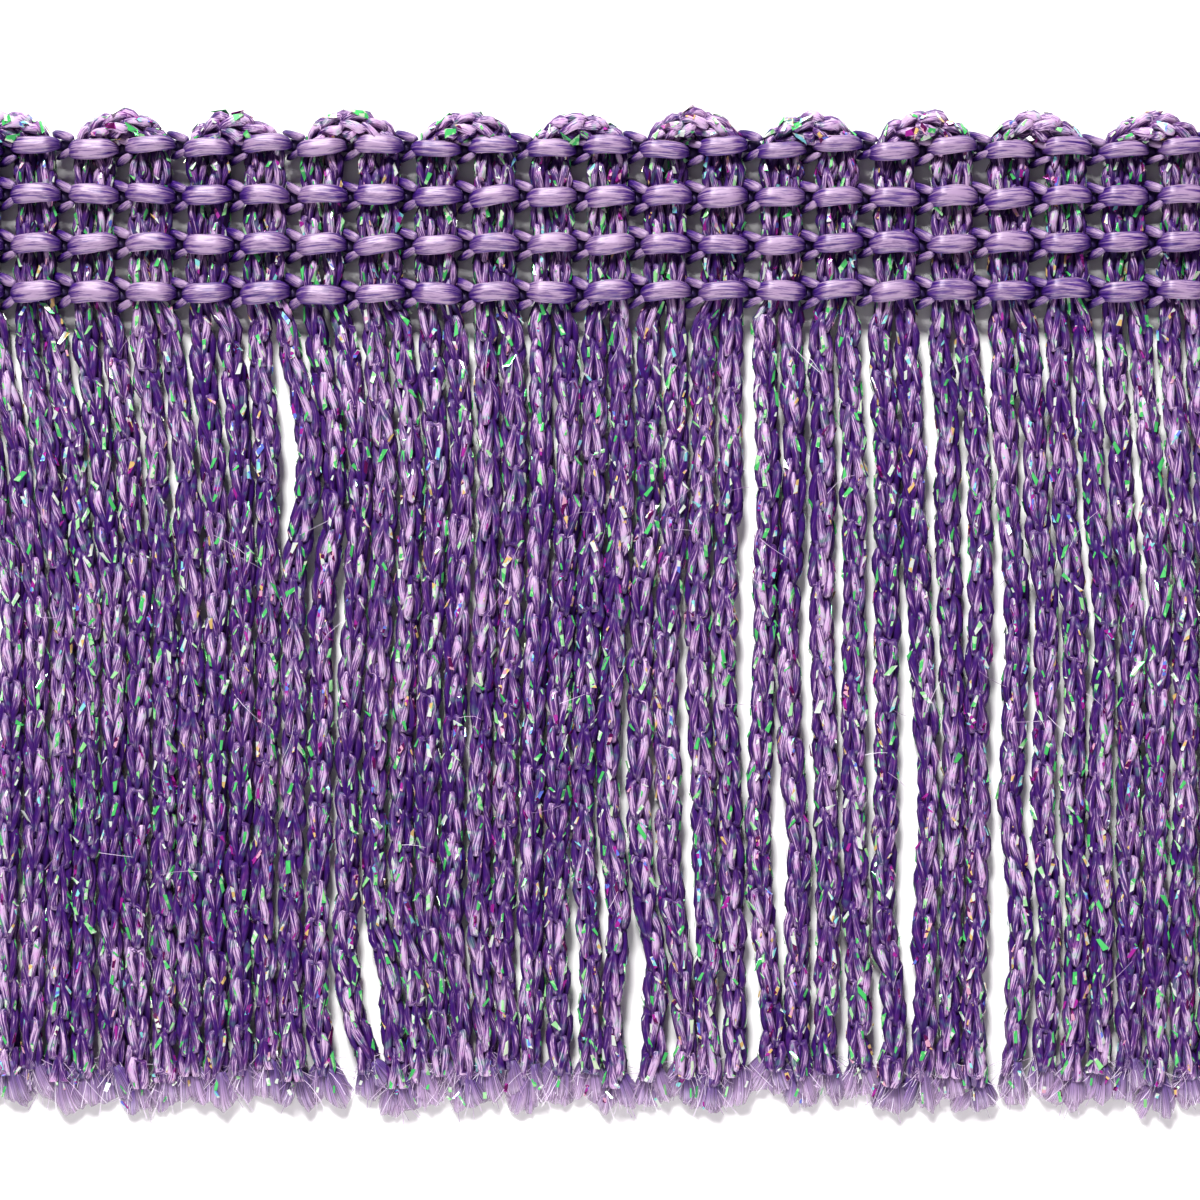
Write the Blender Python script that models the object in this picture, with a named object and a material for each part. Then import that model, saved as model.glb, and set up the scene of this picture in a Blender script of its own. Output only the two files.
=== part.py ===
"""Chainette fringe trim: a cut length that lies flat on its back, face up.

X runs along the trim, +Y to its scalloped edge, -Y to the cut ends of the fringe and
+Z up from the surface it lies on.  The origin is on that surface, under the middle.

Pairs of knitted cords run up a column, arch over into a scallop and come down the next
column.  Four rows of chain stitch bind the columns into the heading, and below the last
row the same cords hang free as the fringe.
"""
import math

import bmesh
import bpy

MM = 0.001

# ---------------------------------------------------------------- driving sizes, in mm
COLUMNS = 24                 # columns of paired cords in this cut length
COLUMN_PITCH = 2.9
ROWS = 4                     # rows of chain stitch in the heading
ROW_PITCH = 2.43
OVERALL_HEIGHT = 51.2        # scallop top to the longest cut end
SCALLOP_RISE = 2.05          # scallop top above the middle of row 1
CLEAR = 0.3                  # room between two pieces

CORD_RADIUS = 0.42           # a cord as it is squeezed in the heading
CORD_SPREAD = 0.57           # a cord's middle from its column's middle
BACK_THICKNESS = 0.35        # the stitches' straight backs, on the surface
CORD_Z = BACK_THICKNESS + CLEAR + CORD_RADIUS
CORD_TOP_Z = CORD_Z + CORD_RADIUS

STRAND_THICKNESS = 1.25      # a free strand, lying on the surface
STRAND_WIDTH_MOST = 1.3
STRAND_GAP = 0.12            # between two strands that lie side by side
FRAY_THICKNESS = 0.6         # a strand's cut end, opened into a flat fan
FRAY_LENGTH = 1.7
FRAY_WIDTH_MOST = 1.75

# ------------------------------------------------------------------ worked out from them
STRANDS = 2 * COLUMNS
TRIM_LENGTH = COLUMNS * COLUMN_PITCH
TOP_Y = OVERALL_HEIGHT / 2
ROW_1_Y = TOP_Y - SCALLOP_RISE
ROW_4_Y = ROW_1_Y - (ROWS - 1) * ROW_PITCH
BUMP_HALF_HEIGHT = 0.55
FRINGE_TOP_Y = ROW_4_Y - BUMP_HALF_HEIGHT
LONGEST_STRAND = FRINGE_TOP_Y + OVERALL_HEIGHT / 2

# A strand's number counts from 0 at the left.  Depths are below the heading's edge.
LEAN_DEPTHS = (1.2, 9.0, 15.0, 20.0, 25.0, 30.0, 35.0, 39.5)
LEAN = {  # strand: how far it has moved to +X from its root at each of LEAN_DEPTHS
    0: (0.0, 1.30, 2.20, 2.20, 2.10, 1.90, 1.90, 1.90),
    10: (0.30, 0.70, 0.70, 0.70, 0.60, 0.40, 0.60, 0.70),
    14: (0.30, 0.85, 0.64, 0.45, 0.30, 0.30, 1.15, 1.45),
    20: (0.00, 0.05, -0.15, -0.30, -0.43, -0.50, -0.45, -0.50),
    27: (-0.20, -0.20, -0.52, -0.50, -0.25, -0.10, 0.00, 0.05),
    31: (0.00, 0.30, 0.33, 0.30, 0.32, 0.38, 0.55, 0.60),
    35: (0.20, 0.85, 0.90, 0.70, 0.75, 0.75, 0.50, 0.60),
    42: (0.00, 0.50, 0.85, 0.85, 0.85, 0.70, 0.70, 0.85),
    47: (0.00, 0.05, 0.15, 0.20, 0.20, 0.15, 0.15, 0.15),
}
PARTINGS = (  # strand on the left, depth where it opens, depth where it closes, width
    (0, 22.0, 39.0, 0.15), (3, 31.0, 41.0, 0.15), (5, 24.0, 40.0, 0.15),
    (6, 6.5, 14.0, 0.20), (10, 2.0, 13.2, 0.90), (11, 9.0, 17.4, 0.35),
    (11, 31.0, 40.0, 0.15), (12, 12.2, 19.8, 0.40), (12, 32.5, 44.0, 0.75),
    (13, 30.8, 38.4, 0.95), (19, 29.0, 37.0, 0.25), (20, 33.0, 40.0, 0.30),
    (21, 29.5, 40.0, 0.55), (22, 26.0, 34.5, 0.30), (23, 17.5, 28.6, 0.30),
    (23, 30.8, 40.5, 1.10), (24, 21.5, 28.5, 0.20), (24, 34.0, 40.3, 0.40),
    (25, 13.0, 36.5, 0.45), (26, 33.0, 38.0, 0.35), (27, 0.0, 24.5, 1.00),
    (27, 29.0, 41.0, 0.80), (28, 2.0, 15.5, 0.30), (28, 22.5, 37.2, 0.70),
    (29, 0.0, 28.0, 0.55), (29, 27.5, 38.0, 0.60), (30, 2.5, 22.0, 0.60),
    (30, 29.0, 41.0, 0.60), (31, 0.0, 32.0, 0.55), (31, 32.0, 39.8, 0.55),
    (32, 9.5, 40.0, 0.95), (33, 0.0, 25.0, 0.50), (34, 5.8, 20.2, 0.50),
    (35, 0.0, 5.0, 0.30), (35, 10.0, 27.0, 0.60), (35, 25.0, 41.0, 0.95),
    (36, 6.5, 41.0, 0.25), (37, 5.0, 41.0, 0.12), (38, 7.5, 23.0, 0.30),
    (39, 16.0, 40.0, 0.15), (40, 6.5, 16.0, 0.15), (41, 9.0, 40.0, 0.12),
    (42, 5.0, 38.0, 0.12),
)
PITCH_AT_TOP, PITCH_AT_CUT = 1.27, 1.14     # strands that touch, middle to middle
PAIR_GAP, PAIR_GAP_DEPTH = 0.5, 7.0         # between columns, closing over this depth
CUT_SCATTER = 0.55                          # how unevenly the ends are cut
STATION_DEPTHS = (1.2, 5.0, 9.0, 12.0, 15.5, 20.0, 25.0, 30.0, 34.5)


# ------------------------------------------------------------------------------ layout
def column_x(column):
    """The middle of a column of paired cords."""
    return (column - (COLUMNS - 1) / 2) * COLUMN_PITCH


def root_x(strand):
    """Where a strand leaves the heading."""
    side = 1 if strand % 2 else -1
    return column_x(strand // 2) + side * CORD_SPREAD


def eased(depth, depths, values):
    """A smooth curve through values at depths, level before the first and after the last."""
    if depth <= depths[0]:
        return values[0]
    for low, high, start, end in zip(depths, depths[1:], values, values[1:]):
        if depth <= high:
            share = (depth - low) / (high - low)
            return start + (end - start) * share * share * (3 - 2 * share)
    return values[-1]


def room_after(strand, depth):
    """The distance from a strand to the next one at a depth, before it is fitted in."""
    share = min(max(depth / LONGEST_STRAND, 0), 1)
    room = PITCH_AT_TOP + (PITCH_AT_CUT - PITCH_AT_TOP) * share
    if strand % 2:
        room += PAIR_GAP * (1 - min(depth / PAIR_GAP_DEPTH, 1)) ** 2
    for left, opens, closes, width in PARTINGS:
        if left == strand and opens < depth < closes:
            room += width * math.sin(math.pi * (depth - opens) / (closes - opens))
    return room


def strand_places(depth):
    """The middle of every strand at one depth: fixed strands lean, the rest fit between."""
    places = [0.0] * STRANDS
    fixed = sorted(LEAN)
    for strand in fixed:
        places[strand] = root_x(strand) + eased(depth, LEAN_DEPTHS, LEAN[strand])
    for first, last in zip(fixed, fixed[1:]):
        rooms = [room_after(strand, depth) for strand in range(first, last)]
        scale = (places[last] - places[first]) / sum(rooms)
        for strand in range(first + 1, last):
            places[strand] = places[strand - 1] + scale * rooms[strand - 1 - first]
    return places


def cut_unevenness(strand):
    """How much of a strand the scissors took, as a number between -1 and 1."""
    return 0.6 * math.sin(2.1 * strand) + 0.4 * math.sin(0.67 * strand + 1.0)


def strand_length(strand):
    """How far below the heading a strand was cut off."""
    least_cut = min(cut_unevenness(other) for other in range(STRANDS))
    return LONGEST_STRAND - CUT_SCATTER * (cut_unevenness(strand) - least_cut)


# -------------------------------------------------------------------------- small tools
def in_metres(point):
    """A point in mm as a point in metres."""
    return tuple(MM * value for value in point)


def cloth_material(name, colour, roughness):
    """A plain material with a piece's main colour."""
    material = bpy.data.materials.new(name)
    material.use_nodes = True
    shader = material.node_tree.nodes["Principled BSDF"]
    shader.inputs["Base Color"].default_value = (*colour, 1)
    shader.inputs["Roughness"].default_value = roughness
    shader.inputs["Metallic"].default_value = 0.0
    return material


def place(name, data, material, collection):
    """A new object that holds data, in a collection."""
    piece = bpy.data.objects.new(name, data)
    data.materials.append(material)
    collection.objects.link(piece)
    return piece


def add_loft(shape, rings):
    """Adds to shape a closed body through rings of four points each."""
    loops = [[shape.verts.new(in_metres(point)) for point in ring] for ring in rings]
    for near, far in zip(loops, loops[1:]):
        for corner in range(4):
            following = (corner + 1) % 4
            shape.faces.new((near[corner], near[following], far[following], far[corner]))
    shape.faces.new(loops[0][::-1])
    shape.faces.new(loops[-1])


def lofted_mesh(name, bodies):
    """A mesh of lofted bodies, their faces pointing out."""
    shape = bmesh.new()
    for rings in bodies:
        add_loft(shape, rings)
    bmesh.ops.recalc_face_normals(shape, faces=shape.faces)
    mesh = bpy.data.meshes.new(name)
    shape.to_mesh(mesh)
    shape.free()
    return mesh


def back_strip(name, row_y, half_height, length, material, collection):
    """The straight backs of a row's stitches: a flat strip on the surface."""
    shape = bmesh.new()
    bmesh.ops.create_cube(shape, size=1.0)
    bmesh.ops.scale(shape, verts=shape.verts,
                    vec=in_metres((length, 2 * half_height, BACK_THICKNESS)))
    bmesh.ops.translate(shape, verts=shape.verts,
                        vec=in_metres((0, row_y, BACK_THICKNESS / 2)))
    mesh = bpy.data.meshes.new(name)
    shape.to_mesh(mesh)
    shape.free()
    strip = place(name, mesh, material, collection)
    strip.hide_render = True
    strip.display_type = "WIRE"
    return strip


def fuse(piece, strip):
    """Makes a piece and the strip at its back one body."""
    union = piece.modifiers.new("fused back", "BOOLEAN")
    union.operation = "UNION"
    union.object = strip


# --------------------------------------------------------------------------- the pieces
ARCH_STEPS = 8
ARCH_SPRING = 0.1            # the arches start this far above the middle of row 1
ARCH_FRONT_LIFT = 0.55       # the outer cord of a scallop passes in front,
ARCH_BACK_DROP = 0.4         # and the inner one behind it
INNER_ARCH_RISE = 0.95
LEG_END_Y = ROW_4_Y + 0.75   # the cords end here, and the strands' roots take over


def loop_points(middle_x, half_span, rise, lift):
    """A cord's route up one column, over the scallop and down the next column."""
    spring_y = ROW_1_Y + ARCH_SPRING
    points = [(middle_x - half_span, LEG_END_Y, CORD_Z)]
    for step in range(ARCH_STEPS + 1):
        angle = math.pi * (0.5 - step / ARCH_STEPS)
        height = math.cos(angle)
        points.append((middle_x - half_span * math.sin(angle),
                       spring_y + (rise - ARCH_SPRING) * height,
                       CORD_Z + lift * height * height))
    points.append((middle_x + half_span, LEG_END_Y, CORD_Z))
    return points


def heading_cord(name, points, material, collection):
    """One cord of a scallop, as a tube along its route."""
    curve = bpy.data.curves.new(name, "CURVE")
    curve.dimensions = "3D"
    curve.bevel_depth = CORD_RADIUS * MM
    curve.bevel_resolution = 1
    curve.use_fill_caps = True
    spline = curve.splines.new("POLY")
    spline.points.add(len(points) - 1)
    for spline_point, point in zip(spline.points, points):
        spline_point.co = (*in_metres(point), 1)
    return place(name, curve, material, collection)


def heading_cords(material, collection):
    """Two cords to each scallop, the inner one nested in the outer one."""
    for loop in range(COLUMNS // 2):
        middle_x = (column_x(2 * loop) + column_x(2 * loop + 1)) / 2
        unevenness = 0.06 * (math.sin(2.4 * loop) - 1)
        heading_cord(f"scallop_{loop + 1:02d}_outer",
                     loop_points(middle_x, COLUMN_PITCH / 2 + CORD_SPREAD,
                                 SCALLOP_RISE - CORD_RADIUS + unevenness, ARCH_FRONT_LIFT),
                     material, collection)
        heading_cord(f"scallop_{loop + 1:02d}_inner",
                     loop_points(middle_x, COLUMN_PITCH / 2 - CORD_SPREAD,
                                 INNER_ARCH_RISE, -ARCH_BACK_DROP),
                     material, collection)


STITCH_STATIONS = (  # from the column's middle, half height, lower z, upper z
    (-1.33, 0.20, None, CORD_TOP_Z + 0.05),
    (-1.10, 0.38, CORD_TOP_Z + CLEAR, CORD_TOP_Z + CLEAR + 0.30),
    (-0.50, BUMP_HALF_HEIGHT, CORD_TOP_Z + CLEAR, CORD_TOP_Z + CLEAR + 0.60),
    (0.50, BUMP_HALF_HEIGHT, CORD_TOP_Z + CLEAR, CORD_TOP_Z + CLEAR + 0.60),
    (1.10, 0.38, CORD_TOP_Z + CLEAR, CORD_TOP_Z + CLEAR + 0.30),
    (1.33, 0.20, None, CORD_TOP_Z + 0.05),
)
STITCH_CROWN = 0.6           # the upper face's width as a share of the lower one
FUSED_FOOT_Z = 0.2           # between columns a row dips into its own back


def chain_row_mesh(name, row_y, foot_z):
    """A row of chain stitches: a bump over each column and a deep pinch between two."""
    rings = []
    for column in range(COLUMNS):
        for offset, half_height, low_z, high_z in STITCH_STATIONS:
            x = column_x(column) + offset
            low = foot_z if low_z is None else low_z
            crown = half_height * STITCH_CROWN
            rings.append(((x, row_y - half_height, low), (x, row_y + half_height, low),
                          (x, row_y + crown, high_z), (x, row_y - crown, high_z)))
    return lofted_mesh(name, [rings])


def binding_rows(material, collection, cutters):
    """Four rows of chain stitch.  The last one's back is the fringe's own strip."""
    for row in range(ROWS):
        name = f"binding_row_{row + 1}"
        row_y = ROW_1_Y - row * ROW_PITCH
        if row < ROWS - 1:
            piece = place(name, chain_row_mesh(name, row_y, FUSED_FOOT_Z), material,
                          collection)
            fuse(piece, back_strip(f"{name}_back", row_y, 0.3, TRIM_LENGTH, material,
                                   cutters))
        else:
            foot_z = BACK_THICKNESS + CLEAR
            place(name, chain_row_mesh(name, row_y, foot_z), material, collection)


ROOT_HALF_HEIGHT = 0.45      # the part of a strand that is bound under row 4
ROOT_LOW_Z = 0.2


def strand_ring(x, y, width, low_z, high_z):
    """A four-sided section across a strand."""
    half = width / 2
    return ((x - half, y, low_z), (x + half, y, low_z),
            (x + half, y, high_z), (x - half, y, high_z))


def strand_width(strand, places, most):
    """As wide as the neighbours leave room for."""
    rooms = []
    if strand > 0:
        rooms.append(places[strand] - places[strand - 1])
    if strand < STRANDS - 1:
        rooms.append(places[strand + 1] - places[strand])
    return min(min(rooms) - STRAND_GAP, most)


def strand_rings(strand):
    """One strand's sections, from its bound root to its opened cut end."""
    x = root_x(strand)
    rings = [strand_ring(x, ROW_4_Y + side * ROOT_HALF_HEIGHT, 2 * CORD_RADIUS,
                         ROOT_LOW_Z, CORD_TOP_Z) for side in (1, -1)]
    length = strand_length(strand)
    neck = length - FRAY_LENGTH
    for depth in (*STATION_DEPTHS, neck):
        places = strand_places(depth)
        width = strand_width(strand, places, STRAND_WIDTH_MOST)
        rings.append(strand_ring(places[strand], FRINGE_TOP_Y - depth, width, 0,
                                 STRAND_THICKNESS))
    places = strand_places(length)
    width = strand_width(strand, places, FRAY_WIDTH_MOST)
    rings.append(strand_ring(places[strand], FRINGE_TOP_Y - length, width, 0,
                             FRAY_THICKNESS))
    return rings


def fringe(material, collection, cutters):
    """All the free strands, their roots fused to the strip behind row 4."""
    bodies = [strand_rings(strand) for strand in range(STRANDS)]
    piece = place("fringe", lofted_mesh("fringe", bodies), material, collection)
    strip_length = TRIM_LENGTH - 2 * CLEAR
    fuse(piece, back_strip("fringe_back", ROW_4_Y, 0.35, strip_length, material, cutters))


def main():
    """Clears the file and builds the trim."""
    for old in list(bpy.data.objects):
        bpy.data.objects.remove(old, do_unlink=True)
    trim = bpy.data.collections.new("chainette fringe trim")
    cutters = bpy.data.collections.new("backs to fuse")
    for collection in (trim, cutters):
        bpy.context.scene.collection.children.link(collection)
    cord_yarn = cloth_material("violet chainette yarn", (0.11, 0.05, 0.25), 0.55)
    fringe_yarn = cloth_material("violet chainette fringe", (0.10, 0.045, 0.23), 0.55)
    satin_thread = cloth_material("lilac satin thread", (0.38, 0.26, 0.50), 0.4)
    heading_cords(cord_yarn, trim)
    binding_rows(satin_thread, trim, cutters)
    fringe(fringe_yarn, trim, cutters)


main()
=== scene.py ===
"""Dresses the chainette fringe trim: knitted cords, satin chain stitches, film and frayed ends.

X runs along the trim, +Y to the scalloped edge, +Z up.  Sizes are in millimetres and are
turned into metres where a mesh or a curve takes them.
"""
import logging
import math
from dataclasses import dataclass
from enum import Enum
from typing import Callable, Iterable, Optional, Sequence

import bpy
import numpy as np
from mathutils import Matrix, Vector


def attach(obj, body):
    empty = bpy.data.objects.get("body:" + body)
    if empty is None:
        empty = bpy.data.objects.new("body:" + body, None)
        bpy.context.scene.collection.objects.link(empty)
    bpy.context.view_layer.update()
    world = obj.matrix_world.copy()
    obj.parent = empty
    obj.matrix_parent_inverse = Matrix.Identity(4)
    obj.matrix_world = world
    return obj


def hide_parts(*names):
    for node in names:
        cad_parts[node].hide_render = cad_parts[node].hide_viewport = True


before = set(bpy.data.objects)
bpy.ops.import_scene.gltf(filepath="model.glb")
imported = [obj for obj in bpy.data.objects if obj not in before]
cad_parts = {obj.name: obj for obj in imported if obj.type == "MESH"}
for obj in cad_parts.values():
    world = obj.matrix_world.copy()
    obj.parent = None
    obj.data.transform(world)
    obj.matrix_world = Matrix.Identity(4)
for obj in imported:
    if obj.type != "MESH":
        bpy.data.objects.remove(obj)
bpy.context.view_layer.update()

LOG = logging.getLogger("fringe trim")
MM = 0.001
TURN = 2 * math.pi
BODY = "root"

Point = tuple[float, float, float]
Rows = list[tuple[float, ...]]  # x, y, z and radius along a cord


# ---------------------------------------------------------------------------- layout
# A strand's number counts from 0 at the left.  Depths are below the heading's edge.
LEAN_DEPTHS = (1.2, 9.0, 15.0, 20.0, 25.0, 30.0, 35.0, 39.5)
LEAN = {  # strand: how far it has moved to +X from its root at each of LEAN_DEPTHS
    0: (0.0, 1.30, 2.20, 2.20, 2.10, 1.90, 1.90, 1.90),
    10: (0.30, 0.70, 0.70, 0.70, 0.60, 0.40, 0.60, 0.70),
    14: (0.30, 0.85, 0.64, 0.45, 0.30, 0.30, 1.15, 1.45),
    20: (0.00, 0.05, -0.15, -0.30, -0.43, -0.50, -0.45, -0.50),
    27: (-0.20, -0.20, -0.52, -0.50, -0.25, -0.10, 0.00, 0.05),
    31: (0.00, 0.30, 0.33, 0.30, 0.32, 0.38, 0.55, 0.60),
    35: (0.20, 0.85, 0.90, 0.70, 0.75, 0.75, 0.50, 0.60),
    42: (0.00, 0.50, 0.85, 0.85, 0.85, 0.70, 0.70, 0.85),
    47: (0.00, 0.05, 0.15, 0.20, 0.20, 0.15, 0.15, 0.15),
}
PARTINGS = (  # strand on the left, depth where it opens, depth where it closes, width
    (0, 22.0, 39.0, 0.15), (3, 31.0, 41.0, 0.15), (5, 24.0, 40.0, 0.15),
    (6, 6.5, 14.0, 0.20), (10, 2.0, 13.2, 0.90), (11, 9.0, 17.4, 0.35),
    (11, 31.0, 40.0, 0.15), (12, 12.2, 19.8, 0.40), (12, 32.5, 44.0, 0.75),
    (13, 30.8, 38.4, 0.95), (19, 29.0, 37.0, 0.25), (20, 33.0, 40.0, 0.30),
    (21, 29.5, 40.0, 0.55), (22, 26.0, 34.5, 0.30), (23, 17.5, 28.6, 0.30),
    (23, 30.8, 40.5, 1.10), (24, 21.5, 28.5, 0.20), (24, 34.0, 40.3, 0.40),
    (25, 13.0, 36.5, 0.45), (26, 33.0, 38.0, 0.35), (27, 0.0, 24.5, 1.00),
    (27, 29.0, 41.0, 0.80), (28, 2.0, 15.5, 0.30), (28, 22.5, 37.2, 0.70),
    (29, 0.0, 28.0, 0.55), (29, 27.5, 38.0, 0.60), (30, 2.5, 22.0, 0.60),
    (30, 29.0, 41.0, 0.60), (31, 0.0, 32.0, 0.55), (31, 32.0, 39.8, 0.55),
    (32, 9.5, 40.0, 0.95), (33, 0.0, 25.0, 0.50), (34, 5.8, 20.2, 0.50),
    (35, 0.0, 5.0, 0.30), (35, 10.0, 27.0, 0.60), (35, 25.0, 41.0, 0.95),
    (36, 6.5, 41.0, 0.25), (37, 5.0, 41.0, 0.12), (38, 7.5, 23.0, 0.30),
    (39, 16.0, 40.0, 0.15), (40, 6.5, 16.0, 0.15), (41, 9.0, 40.0, 0.12),
    (42, 5.0, 38.0, 0.12),
)


def eased(depth: float, depths: Sequence[float], values: Sequence[float]) -> float:
    """Reads a smooth curve that is level before its first and after its last point.

    Args:
        depth: Where it is read.
        depths: The points' depths, rising.
        values: The points' values.

    Returns:
        The value at that depth.
    """
    if depth <= depths[0]:
        return values[0]
    for low, high, start, end in zip(depths, depths[1:], values, values[1:]):
        if depth <= high:
            share = (depth - low) / (high - low)
            return start + (end - start) * share * share * (3 - 2 * share)
    return values[-1]


@dataclass(frozen=True)
class TrimLayout:
    """Where the columns, rows and strands of the trim lie."""

    columns: int = 24
    column_pitch: float = 2.9
    rows: int = 4
    row_pitch: float = 2.43
    overall_height: float = 51.2
    scallop_rise: float = 2.05
    cord_spread: float = 0.57
    bump_half_height: float = 0.55
    pitch_at_top: float = 1.27
    pitch_at_cut: float = 1.14
    pair_gap: float = 0.15
    pair_gap_depth: float = 7.0
    cut_scatter: float = 0.55
    cut_waves: tuple[tuple[float, ...], ...] = (  # size, beat from strand to strand, start
        (0.6, 2.1, 0.0), (0.4, 0.67, 1.0))
    depth_step: float = 0.4

    @property
    def strands(self) -> int:
        """The number of free strands."""
        return 2 * self.columns

    @property
    def row_1_y(self) -> float:
        """The middle of the first row of chain stitch."""
        return self.overall_height / 2 - self.scallop_rise

    @property
    def fringe_top_y(self) -> float:
        """The heading's lower edge, where depths count from."""
        return self.row_y(self.rows - 1) - self.bump_half_height

    @property
    def longest(self) -> float:
        """The longest strand."""
        return self.fringe_top_y + self.overall_height / 2

    def row_y(self, row: int) -> float:
        """The middle of a row of chain stitch, row 0 at the scallops."""
        return self.row_1_y - row * self.row_pitch

    def column_x(self, column: int) -> float:
        """The middle of a column of paired cords."""
        return (column - (self.columns - 1) / 2) * self.column_pitch

    def root_x(self, strand: int) -> float:
        """Where a strand leaves the heading."""
        side = 1 if strand % 2 else -1
        return self.column_x(strand // 2) + side * self.cord_spread

    def room_after(self, strand: int, depth: float) -> float:
        """The distance from a strand to the next one, before it is fitted in.

        Args:
            strand: The strand on the left.
            depth: How far below the heading.

        Returns:
            The distance, with the room of every parting that is open there.
        """
        share = min(max(depth / self.longest, 0), 1)
        room = self.pitch_at_top + (self.pitch_at_cut - self.pitch_at_top) * share
        if strand % 2:
            room += self.pair_gap * (1 - min(depth / self.pair_gap_depth, 1)) ** 2
        for left, opens, closes, width in PARTINGS:
            if left == strand and opens < depth < closes:
                room += width * math.sin(math.pi * (depth - opens) / (closes - opens))
        return room

    def strand_places(self, depth: float) -> list[float]:
        """Finds the middle of every strand at one depth.

        Args:
            depth: How far below the heading.

        Returns:
            One x for each strand: fixed strands lean, and the rest fit between them.
        """
        places = [0.0] * self.strands
        fixed = sorted(LEAN)
        for strand in fixed:
            places[strand] = self.root_x(strand) + eased(depth, LEAN_DEPTHS, LEAN[strand])
        for first, last in zip(fixed, fixed[1:]):
            rooms = [self.room_after(strand, depth) for strand in range(first, last)]
            scale = (places[last] - places[first]) / sum(rooms)
            for strand in range(first + 1, last):
                places[strand] = places[strand - 1] + scale * rooms[strand - 1 - first]
        return places

    def cut_unevenness(self, strand: int) -> float:
        """How much of a strand the scissors took, between -1 and 1."""
        return sum(size * math.sin(beat * strand + start)
                   for size, beat, start in self.cut_waves)

    def strand_length(self, strand: int) -> float:
        """How far below the heading a strand was cut off."""
        least_cut = min(self.cut_unevenness(other) for other in range(self.strands))
        return self.longest - self.cut_scatter * (self.cut_unevenness(strand) - least_cut)

    def place_table(self) -> tuple[np.ndarray, np.ndarray]:
        """Works out all strands' places once.

        Returns:
            The depths, and an array of places with a row for each depth.
        """
        depths = np.arange(0, self.longest + self.depth_step, self.depth_step)
        return depths, np.array([self.strand_places(depth) for depth in depths])


# ------------------------------------------------------------------------ small tools
def in_metres(*values: float) -> tuple[float, ...]:
    """Turns millimetres into metres."""
    return tuple(MM * value for value in values)


def select_only(*pieces: bpy.types.Object) -> None:
    """Selects pieces and nothing else.

    Args:
        pieces: What is selected; the first one is made active.
    """
    bpy.ops.object.select_all(action="DESELECT")
    for piece in pieces:
        piece.select_set(True)
    bpy.context.view_layer.objects.active = pieces[0]


def added(primitive: Callable[..., object], **settings: object) -> bpy.types.Object:
    """Adds a primitive with nothing else selected.

    Args:
        primitive: The operator that adds it.
        settings: The operator's own settings.

    Returns:
        The new piece.
    """
    bpy.ops.object.select_all(action="DESELECT")
    primitive(**settings)
    return bpy.context.active_object


def settle(piece: bpy.types.Object) -> bpy.types.Object:
    """Puts a piece's own place, turn and scale into its mesh.

    Args:
        piece: The piece.

    Returns:
        The same piece.
    """
    select_only(piece)
    bpy.ops.object.transform_apply(location=True, rotation=True, scale=True)
    return piece


def modify(piece: bpy.types.Object, kind: str, **settings: object) -> None:
    """Shapes a piece with a modifier, which is applied.

    Args:
        piece: The piece.
        kind: The modifier's type.
        settings: The modifier's own settings.
    """
    modifier = piece.modifiers.new(kind, kind)
    for name, value in settings.items():
        setattr(modifier, name, value)
    select_only(piece)
    bpy.ops.object.modifier_apply(modifier=modifier.name)


def repeat(piece: bpy.types.Object, count: int, pitch: float) -> None:
    """Repeats a piece along X, so many times and so many millimetres apart."""
    modify(piece, "ARRAY", count=count, use_relative_offset=False, use_constant_offset=True,
           constant_offset_displace=(pitch * MM, 0, 0))


def named(piece: bpy.types.Object, name: str) -> bpy.types.Object:
    """Gives a piece and its mesh one name."""
    piece.name = piece.data.name = name
    return piece


def join(pieces: Sequence[bpy.types.Object], name: str) -> bpy.types.Object:
    """Joins pieces into the first one.

    Args:
        pieces: What is joined.
        name: The joined piece's name.

    Returns:
        The joined piece.
    """
    select_only(*pieces)
    bpy.ops.object.join()
    return named(pieces[0], name)


def copy_of(piece: bpy.types.Object, name: str) -> bpy.types.Object:
    """Copies a modelled piece, with a mesh of its own.

    Args:
        piece: The piece that is modelled.
        name: The copy's name.

    Returns:
        The copy.
    """
    copy = piece.copy()
    copy.data = piece.data.copy()
    bpy.context.collection.objects.link(copy)
    return named(copy, name)


def remove(pieces: Iterable[bpy.types.Object]) -> None:
    """Removes patterns and guides that aren't part of the trim."""
    for piece in pieces:
        bpy.data.objects.remove(piece, do_unlink=True)


def read(data: bpy.types.bpy_prop_collection, key: str, width: int) -> np.ndarray:
    """Reads one row of numbers for each item of a mesh's data.

    Args:
        data: The mesh's points, or the values of an attribute or a map.
        key: What is read of each item.
        width: How many numbers that has.

    Returns:
        The rows.
    """
    flat = np.empty(len(data) * width)
    data.foreach_get(key, flat)
    return flat.reshape(-1, width)


def read_points(mesh: bpy.types.Mesh) -> np.ndarray:
    """The mesh's points in millimetres, one row each."""
    return read(mesh.vertices, "co", 3) / MM


def write_points(mesh: bpy.types.Mesh, points: np.ndarray) -> None:
    """Moves the mesh's points to these, given in millimetres."""
    mesh.vertices.foreach_set("co", (points * MM).ravel())
    mesh.update()


def unit(vectors: np.ndarray) -> np.ndarray:
    """Brings vectors to a length of one."""
    return vectors / np.linalg.norm(vectors, axis=-1, keepdims=True)


def store(mesh: bpy.types.Mesh, **rows: np.ndarray) -> None:
    """Stores values or vectors for a mesh's points, or for its faces under the name tint.

    Args:
        mesh: The mesh.
        rows: One row for each point or face, under the attribute's name.
    """
    for name, values in rows.items():
        kind, key = (("FLOAT", "value"), ("FLOAT_VECTOR", "vector"))[values.ndim - 1]
        attribute = mesh.attributes.get(name) or mesh.attributes.new(
            name, kind, "FACE" if name == "tint" else "POINT")
        attribute.data.foreach_set(key, np.ascontiguousarray(values, dtype=np.float32).ravel())


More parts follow.
